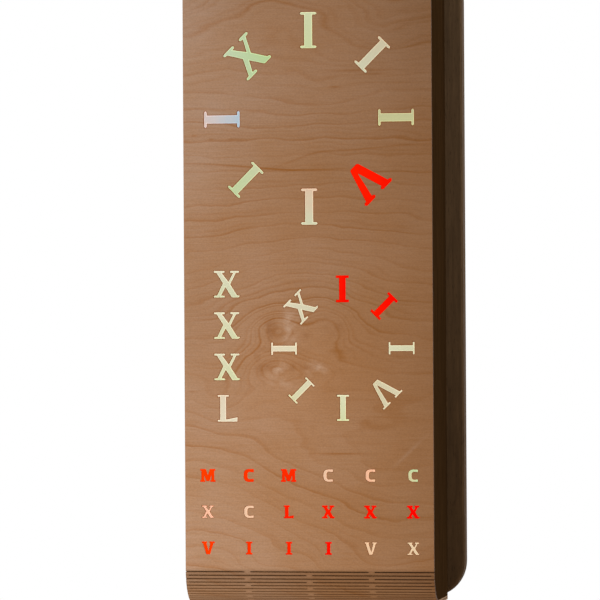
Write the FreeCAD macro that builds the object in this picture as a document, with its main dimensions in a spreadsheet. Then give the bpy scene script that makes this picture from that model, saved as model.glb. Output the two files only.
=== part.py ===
import FreeCAD, Part
import math
import os
import re

import Sketcher

# Wall clock with Roman numerals: a birch sheet wraps over a shallow hood by living hinges, and
# opal inserts in its cut-outs are lit one by one from behind. The hood stands on a dark rear
# housing with round corners, which hangs flat on the wall.
# Frame: origin at the centre of the wall face, +Z up, the front looks along -Y, +X to the right
# as seen from the front. Lengths are millimetres.

Vector = FreeCAD.Vector
Rotation = FreeCAD.Rotation
Placement = FreeCAD.Placement

SIZES = [
    # Hood and its wrapped sheet
    ("front_width", 202.0),
    ("flat_height", 463.0),
    ("bend_radius", 28.0),
    ("skin_thickness", 3.0),
    ("hood_depth", 80.0),
    ("cheek_thickness", 6.0),
    ("glue_gap", 0.1),
    # Living hinge
    ("hinge_rows", 15.0),
    ("hinge_slit", 0.65),
    ("hinge_bridge", 4.8),
    # Rear housing
    ("housing_depth", 16.0),
    ("housing_rim", 14.1),
    ("housing_corner", 30.0),
    ("housing_inset", 1.0),
    ("housing_edge", 1.5),
    # Numerals and their inserts, in step with the front's width
    ("hour_ring", "=0.3505 * front_width"),
    ("hour_height", "=0.148 * front_width"),
    ("hour_drop", 100.5),
    ("hour_shift", 1.5),
    ("minute_ring", "=0.2361 * front_width"),
    ("minute_height", "=0.107 * front_width"),
    ("minute_share", 0.1158),
    ("minute_shift", "=0.1391 * front_width"),
    ("tens_height", "=0.11 * front_width"),
    ("tens_rise", 52.0),
    ("tens_shift", "=0.3262 * front_width"),
    ("calendar_height", "=0.0495 * front_width"),
    ("calendar_weight", 0.2),
    ("calendar_rise", 76.0),
    ("row_pitch", 29.2),
    ("lamp_pitch", "=0.1648 * front_width"),
    ("insert_recess", 0.4),
    ("insert_gap", 0.1),
    # Light boxes, lamp boards and their carrier
    ("cell_depth", 20.0),
    ("cell_wall", 2.0),
    ("cell_margin", 2.0),
    ("board_thickness", 1.6),
    ("lamp_width", 5.0),
    ("lamp_height", 1.6),
    ("carrier_thickness", 3.0),
    ("carrier_margin", 1.0),
    # Battens and cleats
    ("batten_width", 12.0),
    ("batten_inset", 7.0),
    ("cleat_length", 150.0),
    # Control compartment in the housing
    ("compartment_width", 100.0),
    ("compartment_height", 50.0),
    ("compartment_wall", 8.0),
    ("compartment_back", 3.0),
    ("board_clearance", 1.0),
    ("board_rise", 3.5),
    ("post_width", 7.0),
    ("post_inset", 6.0),
    # Setting buttons and their switches
    ("button_radius", 3.0),
    ("button_fit", 0.05),
    ("button_reach", 1.5),
    ("button_travel", 1.0),
    ("button_pitch", 16.0),
    ("flange_radius", 4.0),
    ("flange_thickness", 1.2),
    ("flange_gap", 0.1),
    ("plunger_radius", 1.5),
    ("plunger_length", 3.1),
    ("switch_width", 7.0),
    ("switch_length", 6.0),
    ("switch_depth", 6.6),
    ("switch_gap", 0.6),
    ("plunger_room", 0.5),
    # Low-voltage inlet
    ("inlet_shift", 32.0),
    ("inlet_width", 10.0),
    ("inlet_depth", 11.0),
    ("inlet_length", 13.0),
    ("inlet_nose", 4.0),
    ("inlet_bore", 3.0),
    ("inlet_pin", 1.0),
    ("inlet_pin_length", 8.0),
    ("inlet_recess", 1.0),
    # Parts on the front of the control board
    ("chip_width", 10.0),
    ("chip_thickness", 1.2),
    ("chip_shift", 24.0),
    ("cell_radius", 10.0),
    ("cell_thickness", 3.2),
    ("holder_wall", 1.5),
    ("holder_base", 0.8),
    ("holder_shift", 20.0),
    ("cable_width", 16.0),
    ("cable_thickness", 1.0),
    ("cable_bend", 6.0),
    # Keyhole hangers
    ("hanger_shift", 60.0),
    ("hanger_drop", 34.0),
    ("hanger_width", 20.0),
    ("hanger_height", 44.0),
    ("hanger_thickness", 1.6),
    ("hanger_sink", 1.6),
    ("hanger_screw_inset", 3.4),
    ("keyhole_entry", 4.5),
    ("keyhole_slot", 2.5),
    ("keyhole_rise", 10.0),
    ("nail_room_width", 14.0),
    ("nail_room_height", 26.0),
    ("nail_room_depth", 7.0),
    # Fasteners
    ("screw_radius", 1.9),
    ("screw_head", 3.6),
    ("screw_head_height", 2.4),
    ("screw_bite", 9.0),
    ("screw_sink", 5.0),
    ("screw_fit", 0.05),
    ("case_screw_inset", 31.5),
    ("small_screw", 1.3),
    ("small_head", 2.4),
    ("small_head_height", 1.4),
    ("small_bite", 7.0),
]

doc = FreeCAD.newDocument("clock")
sheet = doc.addObject("Spreadsheet::Sheet", "sizes")
for row, (alias, number) in enumerate(SIZES, start=1):
    sheet.set("A%d" % row, alias)
    sheet.set("B%d" % row, str(number))
    sheet.setAlias("B%d" % row, alias)
doc.recompute()
size = {alias: float(sheet.get(alias)) for alias, number in SIZES}
nodes = {}

HALF_HEIGHT = "(flat_height / 2 + bend_radius)"
HOUSING_BOTTOM = "(housing_inset - flat_height / 2 - bend_radius)"
SKIN_BACK = "(housing_depth + hood_depth - skin_thickness)"
LAMP_PLANE = "(housing_depth + hood_depth - skin_thickness - cell_depth)"
CARRIER_FRONT = "(housing_depth + hood_depth - skin_thickness - cell_depth - board_thickness)"
INNER_HALF = "(front_width / 2 - cheek_thickness)"
HOUR_LEVEL = "(flat_height / 2 - hour_drop)"
MINUTE_LEVEL = "(-minute_share * flat_height)"
TENS_LEVEL = "(tens_rise - minute_share * flat_height)"
CALENDAR_LEVEL = "(calendar_rise - flat_height / 2)"

front_y = -(size["housing_depth"] + size["hood_depth"])
half_height = size["flat_height"] / 2 + size["bend_radius"]
housing_bottom = size["housing_inset"] - half_height
hour_level = size["flat_height"] / 2 - size["hour_drop"]
minute_level = -size["minute_share"] * size["flat_height"]
tens_level = minute_level + size["tens_rise"]
calendar_level = size["calendar_rise"] - size["flat_height"] / 2
lamp_plane_y = front_y + size["skin_thickness"] + size["cell_depth"]
carrier_front_y = lamp_plane_y + size["board_thickness"]
carrier_back_y = carrier_front_y + size["carrier_thickness"]


def cells(text):
    """The text with every size name, but no function name, written as a cell of the sheet."""
    return re.sub(r"[a-z][a-z_]+(?![a-z_(])", r"sizes.\g<0>", text)


def bind(obj, prop, text):
    obj.setExpression(prop, cells(text))


def place(obj, base):
    """Bind the object's place to three size texts."""
    for axis, text in zip("xyz", base):
        bind(obj, "Placement.Base." + axis, text)


def node(label, obj):
    obj.Label = label
    nodes[label] = obj
    return obj


def box(name, extents, corner):
    block = doc.addObject("Part::Box", name)
    for prop, text in zip(("Length", "Width", "Height"), extents):
        bind(block, prop, text)
    place(block, corner)
    return block


# Flats of the small pieces that stand for round ones: hidden shanks and bores, and what shows.
SHANK_SIDES = 6
ROUND_SIDES = 12
SMOOTH_SIDES = 16


def bar(name, sides, radius, length, base, axis):
    """A straight bar with this many flats, from base along y, z or their reverse, such as -y."""
    turns = {
        "y": Rotation(Vector(1, 0, 0), -90),
        "-y": Rotation(Vector(1, 0, 0), 90),
        "z": Rotation(),
        "-z": Rotation(Vector(1, 0, 0), 180),
    }
    prism = doc.addObject("Part::Prism", name)
    prism.Polygon = sides
    bind(prism, "Circumradius", radius)
    bind(prism, "Height", length)
    prism.Placement = Placement(Vector(), turns[axis])
    place(prism, base)
    return prism


def group(name, members):
    compound = doc.addObject("Part::Compound", name)
    compound.Links = members
    return compound


def fuse(name, members):
    union = doc.addObject("Part::MultiFuse", name)
    union.Shapes = members
    return union


def cut(name, base, tools):
    result = doc.addObject("Part::Cut", name)
    result.Base = base
    result.Tool = tools[0] if len(tools) == 1 else group(name + "_tools", tools)
    return result


def origin_plane(body, role):
    return [part for part in body.Origin.OriginFeatures if part.Role == role][0]


def new_sketch(body, role, name):
    sketch = body.newObject("Sketcher::SketchObject", name)
    sketch.AttachmentSupport = [(origin_plane(body, role), "")]
    sketch.MapMode = "FlatFace"
    return sketch


def constrain(sketch, name, text, *constraint):
    """A dimension with a name, bound to the sheet."""
    index = sketch.addConstraint(Sketcher.Constraint(*constraint))
    sketch.renameConstraint(index, name)
    bind(sketch, "Constraints." + name, text)


def add_loop(sketch, corners, symmetric_edge=None):
    """Four lines through the corners, joined and square.

    An edge whose ends are made symmetric about an axis afterwards is square through that alone.
    """
    first = len(sketch.Geometry)
    points = [Vector(x, y, 0) for x, y in corners]
    for k in range(4):
        sketch.addGeometry(Part.LineSegment(points[k], points[(k + 1) % 4]), False)
    for k in range(4):
        joint = (first + k, 2, first + (k + 1) % 4, 1)
        sketch.addConstraint(Sketcher.Constraint("Coincident", *joint))
    for k, kind in enumerate(("Horizontal", "Vertical", "Horizontal", "Vertical")):
        if k != symmetric_edge:
            sketch.addConstraint(Sketcher.Constraint(kind, first + k))
    return first


def centred_rectangle(sketch, width, height):
    first = add_loop(sketch, [(-9, -9), (9, -9), (9, 9), (-9, 9)])
    sketch.addConstraint(Sketcher.Constraint("Symmetric", first, 1, first + 1, 2, -1, 1))
    constrain(sketch, "width", width, "DistanceX", first, 1, first, 2, 18.0)
    constrain(sketch, "height", height, "DistanceY", first + 1, 1, first + 1, 2, 18.0)


def pad(body, sketch, length, name):
    feature = body.newObject("PartDesign::Pad", name)
    feature.Profile = sketch
    bind(feature, "Length", length)
    return feature


def edges_where(shape, test):
    return ["Edge%d" % (k + 1) for k, edge in enumerate(shape.Edges) if test(edge)]


def dress(body, kind, base, test, amount, name):
    """A fillet or chamfer on the edges of the base that pass the test."""
    doc.recompute()
    feature = body.newObject("PartDesign::" + kind, name)
    feature.Base = (base, edges_where(base.Shape, test))
    bind(feature, {"Fillet": "Radius", "Chamfer": "Size"}[kind], amount)
    return feature


def runs_along(edge, direction):
    """True for a straight edge along the direction."""
    if not isinstance(edge.Curve, Part.Line):
        return False
    return abs(abs(edge.tangentAt(edge.FirstParameter).dot(direction)) - 1) < 1e-6


# Glyph outlines: slab-serif capitals of unit height, centred on x, each point with the radius
# of its corner. Corners under TIP_LIMIT are the small ones of the serifs' ends, and are drawn as
# one flat. Larger corners have BEND_FLATS of them.
TIP = 0.045
TIP_LIMIT = 0.1
BEND_FLATS = 3


def letter_i():
    return [
        (-0.245, 0, TIP), (0.245, 0, TIP), (0.245, 0.1, TIP), (0.125, 0.1, 0),
        (0.125, 0.9, 0), (0.245, 0.9, TIP), (0.245, 1, TIP), (-0.245, 1, TIP),
        (-0.245, 0.9, TIP), (-0.125, 0.9, 0), (-0.125, 0.1, 0), (-0.245, 0.1, TIP),
    ]


def letter_v():
    return [
        (-0.145, 0, TIP), (0.135, 0, TIP), (0.42, 0.9, 0), (0.515, 0.9, TIP),
        (0.515, 1, TIP), (0.11, 1, TIP), (0.11, 0.9, TIP), (0.19, 0.9, 0),
        (0.035, 0.21, 0), (-0.175, 0.9, 0), (-0.11, 0.9, TIP), (-0.11, 1, TIP),
        (-0.515, 1, TIP), (-0.515, 0.9, TIP), (-0.42, 0.9, 0),
    ]


def letter_x():
    return [
        (-0.5, 1, TIP), (-0.5, 0.9, TIP), (-0.395, 0.89, 0), (-0.17, 0.53, 0),
        (-0.375, 0.11, 0), (-0.5, 0.1, TIP), (-0.5, 0, TIP), (-0.07, 0, TIP),
        (-0.07, 0.1, TIP), (-0.19, 0.11, 0), (-0.058, 0.355, 0), (0.17, 0, TIP),
        (0.43, 0, TIP), (0.51, 0.09, TIP), (0.375, 0.12, 0), (0.14, 0.495, 0),
        (0.34, 0.89, 0), (0.46, 0.9, TIP), (0.46, 1, TIP), (0.1, 1, TIP),
        (0.1, 0.9, TIP), (0.195, 0.89, 0), (0.05, 0.62, 0), (-0.155, 0.89, 0),
        (-0.07, 0.9, TIP), (-0.07, 1, TIP),
    ]


def letter_l():
    return [
        (-0.385, 0, TIP), (0.37, 0, TIP), (0.385, 0.2, TIP), (-0.04, 0.115, 0),
        (-0.04, 0.9, 0), (0.06, 0.9, TIP), (0.06, 1, TIP), (-0.385, 1, TIP),
        (-0.385, 0.9, TIP), (-0.295, 0.9, 0), (-0.295, 0.1, 0), (-0.385, 0.1, TIP),
    ]


def letter_m():
    return [
        (-0.605, 0, 0), (-0.235, 0, 0), (-0.235, 0.12, 0), (-0.31, 0.12, 0),
        (-0.31, 0.62, 0), (-0.115, 0.06, 0), (0.115, 0.06, 0), (0.31, 0.62, 0),
        (0.31, 0.12, 0), (0.22, 0.12, 0), (0.22, 0, 0), (0.605, 0, 0),
        (0.605, 0.12, 0), (0.51, 0.12, 0), (0.51, 0.89, 0), (0.605, 0.89, 0),
        (0.605, 1, 0), (0.175, 1, 0), (0, 0.47, 0), (-0.175, 1, 0),
        (-0.605, 1, 0), (-0.605, 0.89, 0), (-0.51, 0.89, 0), (-0.51, 0.12, 0),
        (-0.605, 0.12, 0),
    ]


def letter_c():
    return [
        (-0.4, 0, 0.36), (0.37, 0, TIP), (0.4, 0.21, TIP), (-0.12, 0.17, 0.18),
        (-0.12, 0.83, 0.18), (0.4, 0.77, TIP), (0.38, 1, TIP), (-0.4, 1, 0.36),
    ]


GLYPHS = {"I": letter_i, "V": letter_v, "X": letter_x, "L": letter_l, "M": letter_m, "C": letter_c}


def corner_points(before, here, after, radius, flats):
    """The points of a corner of this radius, with straight lines between them."""
    if radius == 0:
        return [here]
    back = (before - here).normalize()
    ahead = (after - here).normalize()
    half_angle = back.getAngle(ahead) / 2
    reach = radius / math.sin(half_angle)
    centre = here + (back + ahead).normalize() * reach
    first = here + back * (radius / math.tan(half_angle)) - centre
    turn = 180 - math.degrees(2 * half_angle)
    side = 1 if back.cross(ahead).z < 0 else -1
    points = []
    for k in range(flats + 1):
        spin = Rotation(Vector(0, 0, 1), side * turn * k / flats)
        points.append(centre + spin.multVec(first))
    return points


def rounded_face(corners):
    """A flat face in XY through the corners, each rounded by its own radius in its own flats."""
    points = []
    count = len(corners)
    for k, (x, y, radius, flats) in enumerate(corners):
        before = Vector(corners[k - 1][0], corners[k - 1][1], 0)
        after = Vector(corners[(k + 1) % count][0], corners[(k + 1) % count][1], 0)
        points.extend(corner_points(before, Vector(x, y, 0), after, radius, flats))
    return Part.Face(Part.makePolygon(points + points[:1]))


def glyph_face(letter, height, fine):
    """The letter's face of this height, centred on the origin in the XY plane."""
    corners = []
    for x, y, radius in GLYPHS[letter]():
        small = radius < TIP_LIMIT
        if small and not fine:
            radius = 0
        flats = 1 if small else BEND_FLATS
        corners.append((x * height, (y - 0.5) * height, radius * height, flats))
    return rounded_face(corners)


class Numeral:
    """One letter of the display: where it stands on the front, how it is turned and its size."""

    def __init__(self, letter, x, z, turn, height, fine, weight=0):
        self.letter = letter
        self.x = x
        self.z = z
        self.turn = turn
        self.height = height
        self.fine = fine
        self.weight = weight

    def placement(self, y):
        """Upright in the front plane at this depth, then turned clockwise about its centre."""
        upright = Rotation(Vector(1, 0, 0), 90)
        clockwise = Rotation(Vector(0, 1, 0), self.turn)
        return Placement(Vector(self.x, y, self.z), clockwise.multiply(upright))

    def prism(self, shrink, y, thickness):
        """A solid from depth y back towards the wall, its outline drawn in by shrink."""
        face = glyph_face(self.letter, self.height, self.fine)
        growth = self.weight - shrink
        if growth != 0:
            face = face.makeOffset2D(growth, 2, False, False, False)
        solid = face.extrude(Vector(0, 0, -thickness))
        solid.Placement = self.placement(y)
        return solid


def ring_numerals(letters, shifts, x, z, radius, height, fine):
    """Letters round a ring, clockwise from the top, their feet towards the centre.

    Each is set off from its even place by its own shift.
    """
    numerals = []
    for k, letter in enumerate(letters):
        turn = 360.0 * k / len(letters)
        angle = math.radians(turn)
        place_x = x + radius * math.sin(angle) + shifts[k][0]
        place_z = z + radius * math.cos(angle) + shifts[k][1]
        numerals.append(Numeral(letter, place_x, place_z, turn, height, fine))
    return numerals


RING_LETTERS = "IIIVIIIX"
# The letters are set by eye: how far each stands to the right of and above its even place.
HOUR_SHIFTS = ((0, 0), (1.8, 0.4), (0, 0), (-3.5, 0), (0, 0), (-1.5, 1.3), (0, 0), (0.6, 0.9))
MINUTE_SHIFTS = ((0, 0), (0, 0), (0, 0), (-0.4, -0.6), (0, 0), (0, 0), (0, 0), (0, 0))
COLUMN_SHIFTS = (0.8, 1.0, 0.2, -0.9, 0, 1.3)
TENS_LETTERS = "XXXL"
CALENDAR_ROWS = ("MCMCCC", "XCLXXX", "VIIIVX")
CALENDAR_LIT = ((0, 1, 2), (2, 3, 4, 5), (0, 1, 2, 3))

hour_numerals = ring_numerals(
    RING_LETTERS, HOUR_SHIFTS, size["hour_shift"], hour_level, size["hour_ring"],
    size["hour_height"], True)
minute_numerals = ring_numerals(
    RING_LETTERS, MINUTE_SHIFTS, size["minute_shift"], minute_level, size["minute_ring"],
    size["minute_height"], False)
tens_numerals = []
for k, letter in enumerate(TENS_LETTERS):
    tens_z = tens_level - k * size["lamp_pitch"]
    tens_numerals.append(
        Numeral(letter, -size["tens_shift"], tens_z, 0, size["tens_height"], False))
calendar_numerals = []
for r, letters in enumerate(CALENDAR_ROWS):
    row_z = calendar_level - r * size["row_pitch"]
    row_numerals = []
    for k, letter in enumerate(letters):
        column_x = (k - (len(letters) - 1) / 2) * size["lamp_pitch"] + COLUMN_SHIFTS[k]
        row_numerals.append(Numeral(
            letter, column_x, row_z, 0, size["calendar_height"], False, size["calendar_weight"]))
    calendar_numerals.append(row_numerals)
all_numerals = hour_numerals + minute_numerals + tens_numerals + sum(calendar_numerals, [])


def solid_feature(name, solids):
    """A fixed shape of one or more solids."""
    feature = doc.addObject("Part::Feature", name)
    feature.Shape = solids[0] if len(solids) == 1 else Part.makeCompound(solids)
    return feature


def add_slit(sketch, name, near, far, side):
    """A slit from near to far, measured from the sketch's centre towards one side."""
    left, right = sorted((20.0 * side, 60.0 * side))
    first = add_loop(sketch, [(left, -1), (right, -1), (right, 1), (left, 1)], 3)
    near_corner = 1 if side > 0 else 2
    far_corner = 3 - near_corner
    for key, corner, text in (("near", near_corner, near), ("far", far_corner, far)):
        ends = (-1, 1, first, corner) if side > 0 else (first, corner, -1, 1)
        constrain(sketch, name + key, text, "DistanceX", *ends, 20.0 if key == "near" else 60.0)
    constrain(sketch, name + "gap", "hinge_slit", "DistanceY", first + 1, 1, first + 1, 2, 2.0)
    sketch.addConstraint(Sketcher.Constraint("Symmetric", first, 1, first + 3, 1, -1))


def hinge_row(body, name, end, skipped):
    """A row of slits at one end of the sheet; end is 1 for the top and -1 for the bottom.

    The row's sketch lies on the axis of the bend, and is pocketed outwards through the sheet.
    """
    sketch = new_sketch(body, "XZ_Plane", name + "_sketch")
    bind(sketch, "AttachmentOffset.Base.x", "front_width / 2")
    bind(sketch, "AttachmentOffset.Base.y", "%d * flat_height / 2" % end)
    bind(sketch, "AttachmentOffset.Base.z", "hood_depth / 2 - bend_radius")
    step = 90.0 / size["hinge_rows"]
    tilt = -end * step * (skipped + 0.5)
    offset = sketch.AttachmentOffset
    offset.Rotation = Rotation(Vector(1, 0, 0), tilt)
    sketch.AttachmentOffset = offset
    if skipped == 0:
        centred_rectangle(sketch, "front_width / 2 - hinge_bridge", "hinge_slit")
        for side, word in ((1, "right"), (-1, "left")):
            near = "front_width / 4 + hinge_bridge / 2"
            add_slit(sketch, word, near, "front_width / 2 + skin_thickness", side)
    else:
        for side, word in ((1, "right"), (-1, "left")):
            far = "front_width / 2 - hinge_bridge / 2"
            add_slit(sketch, word, "hinge_bridge / 2", far, side)
    pocket = body.newObject("PartDesign::Pocket", name)
    pocket.Profile = sketch
    pocket.Reversed = True
    bind(pocket, "Length", "bend_radius + skin_thickness")
    copies = int(size["hinge_rows"] + 1 - skipped) // 2
    pattern = body.newObject("PartDesign::PolarPattern", name + "_rows")
    pattern.Originals = [pocket]
    pattern.Axis = (sketch, ["H_Axis"])
    pattern.Angle = 2 * step * (copies - 1)
    pattern.Occurrences = copies
    pattern.Reversed = end > 0
    body.Tip = pattern


def front_shell():
    """The birch sheet: flat front, a living hinge at each end, and returns to the housing."""
    body = doc.addObject("PartDesign::Body", "sheet_body")
    sketch = new_sketch(body, "YZ_Plane", "hood_side")
    centred_rectangle(sketch, "hood_depth", "flat_height + 2 * bend_radius")
    block = pad(body, sketch, "front_width", "hood_block")

    def at_front(edge):
        return runs_along(edge, Vector(1, 0, 0)) and edge.CenterOfMass.y < 0

    bends = dress(body, "Fillet", block, at_front, "bend_radius", "sheet_bends")
    doc.recompute()
    open_faces = []
    for k, face in enumerate(bends.Shape.Faces):
        normal = face.normalAt(0, 0)
        if abs(abs(normal.x) - 1) < 1e-6 or normal.y > 1 - 1e-6:
            open_faces.append("Face%d" % (k + 1))
    shell = body.newObject("PartDesign::Thickness", "sheet_thickness")
    shell.Base = (bends, open_faces)
    bind(shell, "Value", "skin_thickness")
    shell.Reversed = True
    shell.Join = 1
    doc.recompute()
    for end, word in ((1, "top"), (-1, "bottom")):
        hinge_row(body, word + "_side_slits", end, 0)
        hinge_row(body, word + "_middle_slits", end, 1)
    place(body, ("-front_width / 2", "-housing_depth - hood_depth / 2", "0"))
    prisms = [numeral.prism(0, front_y, size["skin_thickness"]) for numeral in all_numerals]
    cutters = solid_feature("numeral_cutters", prisms)
    node("front_shell", cut("numbered_sheet", body, [cutters]))


def cheek(label, side):
    """A side wall inside the wrapped sheet, flush with the sheet's edge."""
    body = doc.addObject("PartDesign::Body", label + "_body")
    sketch = new_sketch(body, "YZ_Plane", label + "_sketch")
    depth = "hood_depth - skin_thickness - glue_gap"
    height = "flat_height + 2 * bend_radius - 2 * skin_thickness - 2 * glue_gap"
    centred_rectangle(sketch, depth, height)
    block = pad(body, sketch, "cheek_thickness", label + "_pad")

    def at_front(edge):
        return runs_along(edge, Vector(1, 0, 0)) and edge.CenterOfMass.y < 0

    radius = "bend_radius - skin_thickness - glue_gap"
    dress(body, "Fillet", block, at_front, radius, label + "_corners")
    left = "front_width / 2 - cheek_thickness" if side > 0 else "-front_width / 2"
    middle = "-housing_depth - (hood_depth - skin_thickness - glue_gap) / 2"
    place(body, (left, middle, "0"))
    node(label, body)


def inserts():
    """Opal inserts, a little below the front face and flush with the sheet's back."""
    y = front_y + size["insert_recess"]
    thickness = size["skin_thickness"] - size["insert_recess"]

    def insert_node(label, numerals):
        solids = [numeral.prism(size["insert_gap"], y, thickness) for numeral in numerals]
        node(label, solid_feature(label, solids))

    for k, numeral in enumerate(hour_numerals):
        insert_node("hour_numeral_%d" % (k + 1), [numeral])
    for k, numeral in enumerate(minute_numerals):
        insert_node("minute_numeral_%d" % (k + 1), [numeral])
    for k, numeral in enumerate(tens_numerals):
        insert_node("tens_numeral_%d" % (k + 1), [numeral])
    for r, row_numerals in enumerate(calendar_numerals):
        lit = [numeral for k, numeral in enumerate(row_numerals) if k in CALENDAR_LIT[r]]
        unlit = [numeral for k, numeral in enumerate(row_numerals) if k not in CALENDAR_LIT[r]]
        insert_node("calendar_row_%d_lit" % (r + 1), lit)
        insert_node("calendar_row_%d_unlit" % (r + 1), unlit)


def octagon_ring(body, name, inner, outer, length):
    """Pad an eight-sided ring, a flat side up; inner and outer are from centre to flat."""
    sketch = new_sketch(body, "XZ_Plane", name + "_sketch")
    for word, apothem, radius in (("inner", inner, 20.0), ("outer", outer, 40.0)):
        first = len(sketch.Geometry)
        corners = []
        for k in range(8):
            angle = math.radians(45 * k - 22.5)
            corners.append(Vector(radius * math.sin(angle), radius * math.cos(angle), 0))
        for k in range(8):
            sketch.addGeometry(Part.LineSegment(corners[k], corners[(k + 1) % 8]), False)
        circle = sketch.addGeometry(Part.Circle(Vector(), Vector(0, 0, 1), radius), True)
        for k in range(8):
            joint = (first + k, 2, first + (k + 1) % 8, 1)
            sketch.addConstraint(Sketcher.Constraint("Coincident", *joint))
            sketch.addConstraint(Sketcher.Constraint("PointOnObject", first + k, 1, circle))
        for k in range(1, 8):
            sketch.addConstraint(Sketcher.Constraint("Equal", first, first + k))
        sketch.addConstraint(Sketcher.Constraint("Horizontal", first))
        sketch.addConstraint(Sketcher.Constraint("Coincident", circle, 3, -1, 1))
        constrain(sketch, word, "(%s) / cos(22.5)" % apothem, "Radius", circle, radius)
    return pad(body, sketch, length, name)


def ring_light_box(name, ring, height, x, z):
    """An eight-sided frame with a cell behind each numeral, on a lamp board of its outline."""
    inner = "(%s - %s / 2 - cell_margin)" % (ring, height)
    outer = "(%s + %s / 2 + cell_margin)" % (ring, height)
    body = doc.addObject("PartDesign::Body", name + "_cells")
    wall_sketch = new_sketch(body, "XZ_Plane", name + "_wall")
    first = add_loop(wall_sketch, [(-1, 20), (1, 20), (1, 60), (-1, 60)], 0)
    wall_sketch.addConstraint(Sketcher.Constraint("Symmetric", first, 1, first, 2, -2))
    constrain(wall_sketch, "wall", "cell_wall", "DistanceX", first, 1, first, 2, 2.0)
    for word, text, corner in (("low", inner + " - cell_wall / 2", first),
                               ("high", outer + " + cell_wall / 2", first + 2)):
        reach = "(%s) / cos(22.5)" % text
        constrain(wall_sketch, word, reach, "DistanceY", -1, 1, corner, 1, 40.0)
    offset = wall_sketch.AttachmentOffset
    offset.Rotation = Rotation(Vector(0, 0, 1), 180.0 / len(RING_LETTERS))
    wall_sketch.AttachmentOffset = offset
    octagon_ring(body, name + "_rim", outer, outer + " + cell_wall", "cell_depth")
    wall = pad(body, wall_sketch, "cell_depth", name + "_one_wall")
    pattern = body.newObject("PartDesign::PolarPattern", name + "_walls")
    pattern.Originals = [wall]
    pattern.Axis = (wall_sketch, ["N_Axis"])
    pattern.Angle = 360
    pattern.Occurrences = len(RING_LETTERS)
    body.Tip = pattern
    octagon_ring(body, name + "_hub", inner + " - cell_wall", inner, "cell_depth")
    place(body, (x, "-" + LAMP_PLANE, z))
    node(name + "_light_box", body)

    board = doc.addObject("PartDesign::Body", name + "_board")
    octagon_ring(
        board, name + "_board_ring", inner + " - cell_wall", outer + " + cell_wall",
        "board_thickness")
    place(board, (x, "-" + CARRIER_FRONT, z))
    node(name + "_led_board", board)


def cell_span(index, count, first, pitch, low, high):
    """The low end and the width of one cell: outer walls at low and high, others midway."""
    start = "(%s + cell_wall)" % low
    end = "(%s - cell_wall)" % high
    if index > 0:
        start = "(%s + %d * %s - %s / 2 + cell_wall / 2)" % (first, index, pitch, pitch)
    if index < count - 1:
        end = "(%s + %d * %s + %s / 2 - cell_wall / 2)" % (first, index, pitch, pitch)
    return start, "%s - %s" % (end, start)


def grid_light_box(name, columns, first_x, half_width, rows, first_z, pitch_z):
    """A block with a cell behind each numeral of the grid, on a lamp board of its size."""
    middle_x = "(%s + %d * lamp_pitch / 2)" % (first_x, columns - 1)
    low_x = "(%s - %s)" % (middle_x, half_width)
    high_x = "(%s + %s)" % (middle_x, half_width)
    bottom_z = "(%s - %d * %s)" % (first_z, rows - 1, pitch_z)
    low_z = "(%s - %s / 2)" % (bottom_z, pitch_z)
    high_z = "(%s + %s / 2)" % (first_z, pitch_z)
    width = "%s - %s" % (high_x, low_x)
    height = "%s - %s" % (high_z, low_z)
    block = box(name + "_block", (width, "cell_depth", height), (low_x, "-" + SKIN_BACK, low_z))
    openings = []
    for column in range(columns):
        for row in range(rows):
            x, cell_width = cell_span(column, columns, first_x, "lamp_pitch", low_x, high_x)
            z, cell_height = cell_span(row, rows, bottom_z, pitch_z, low_z, high_z)
            openings.append(box(
                "%s_cell_%d_%d" % (name, column, row), (cell_width, "cell_depth", cell_height),
                (x, "-" + SKIN_BACK, z)))
    node(name + "_light_box", cut(name + "_box", block, openings))
    board = box(
        name + "_board", (width, "board_thickness", height), (low_x, "-" + LAMP_PLANE, low_z))
    node(name + "_led_board", board)


def lamps():
    """One square lamp behind each numeral, all alike."""
    half = size["lamp_width"] / 2
    packages = []
    for numeral in all_numerals:
        package = Part.makeBox(size["lamp_width"], size["lamp_height"], size["lamp_width"])
        low_y = lamp_plane_y - size["lamp_height"]
        package.translate(Vector(numeral.x - half, low_y, numeral.z - half))
        packages.append(package)
    node("led_packages", solid_feature("packages", packages))


def screw(name, x, y, z, head_side, radius, head, head_height, length):
    """A fastener along Y whose head bears on y, on the side named by head_side.

    Heads on the wall side show, and are rounder than those inside.
    """
    shank_axis = "-y" if head_side > 0 else "y"
    head_axis = "y" if head_side > 0 else "-y"
    shank = bar(name + "_shank", SHANK_SIDES, radius, length, (x, y, z), shank_axis)
    head_sides = ROUND_SIDES if head_side > 0 else SHANK_SIDES
    cap = bar(name + "_head", head_sides, head, head_height, (x, y, z), head_axis)
    return fuse(name, [shank, cap])


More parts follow.
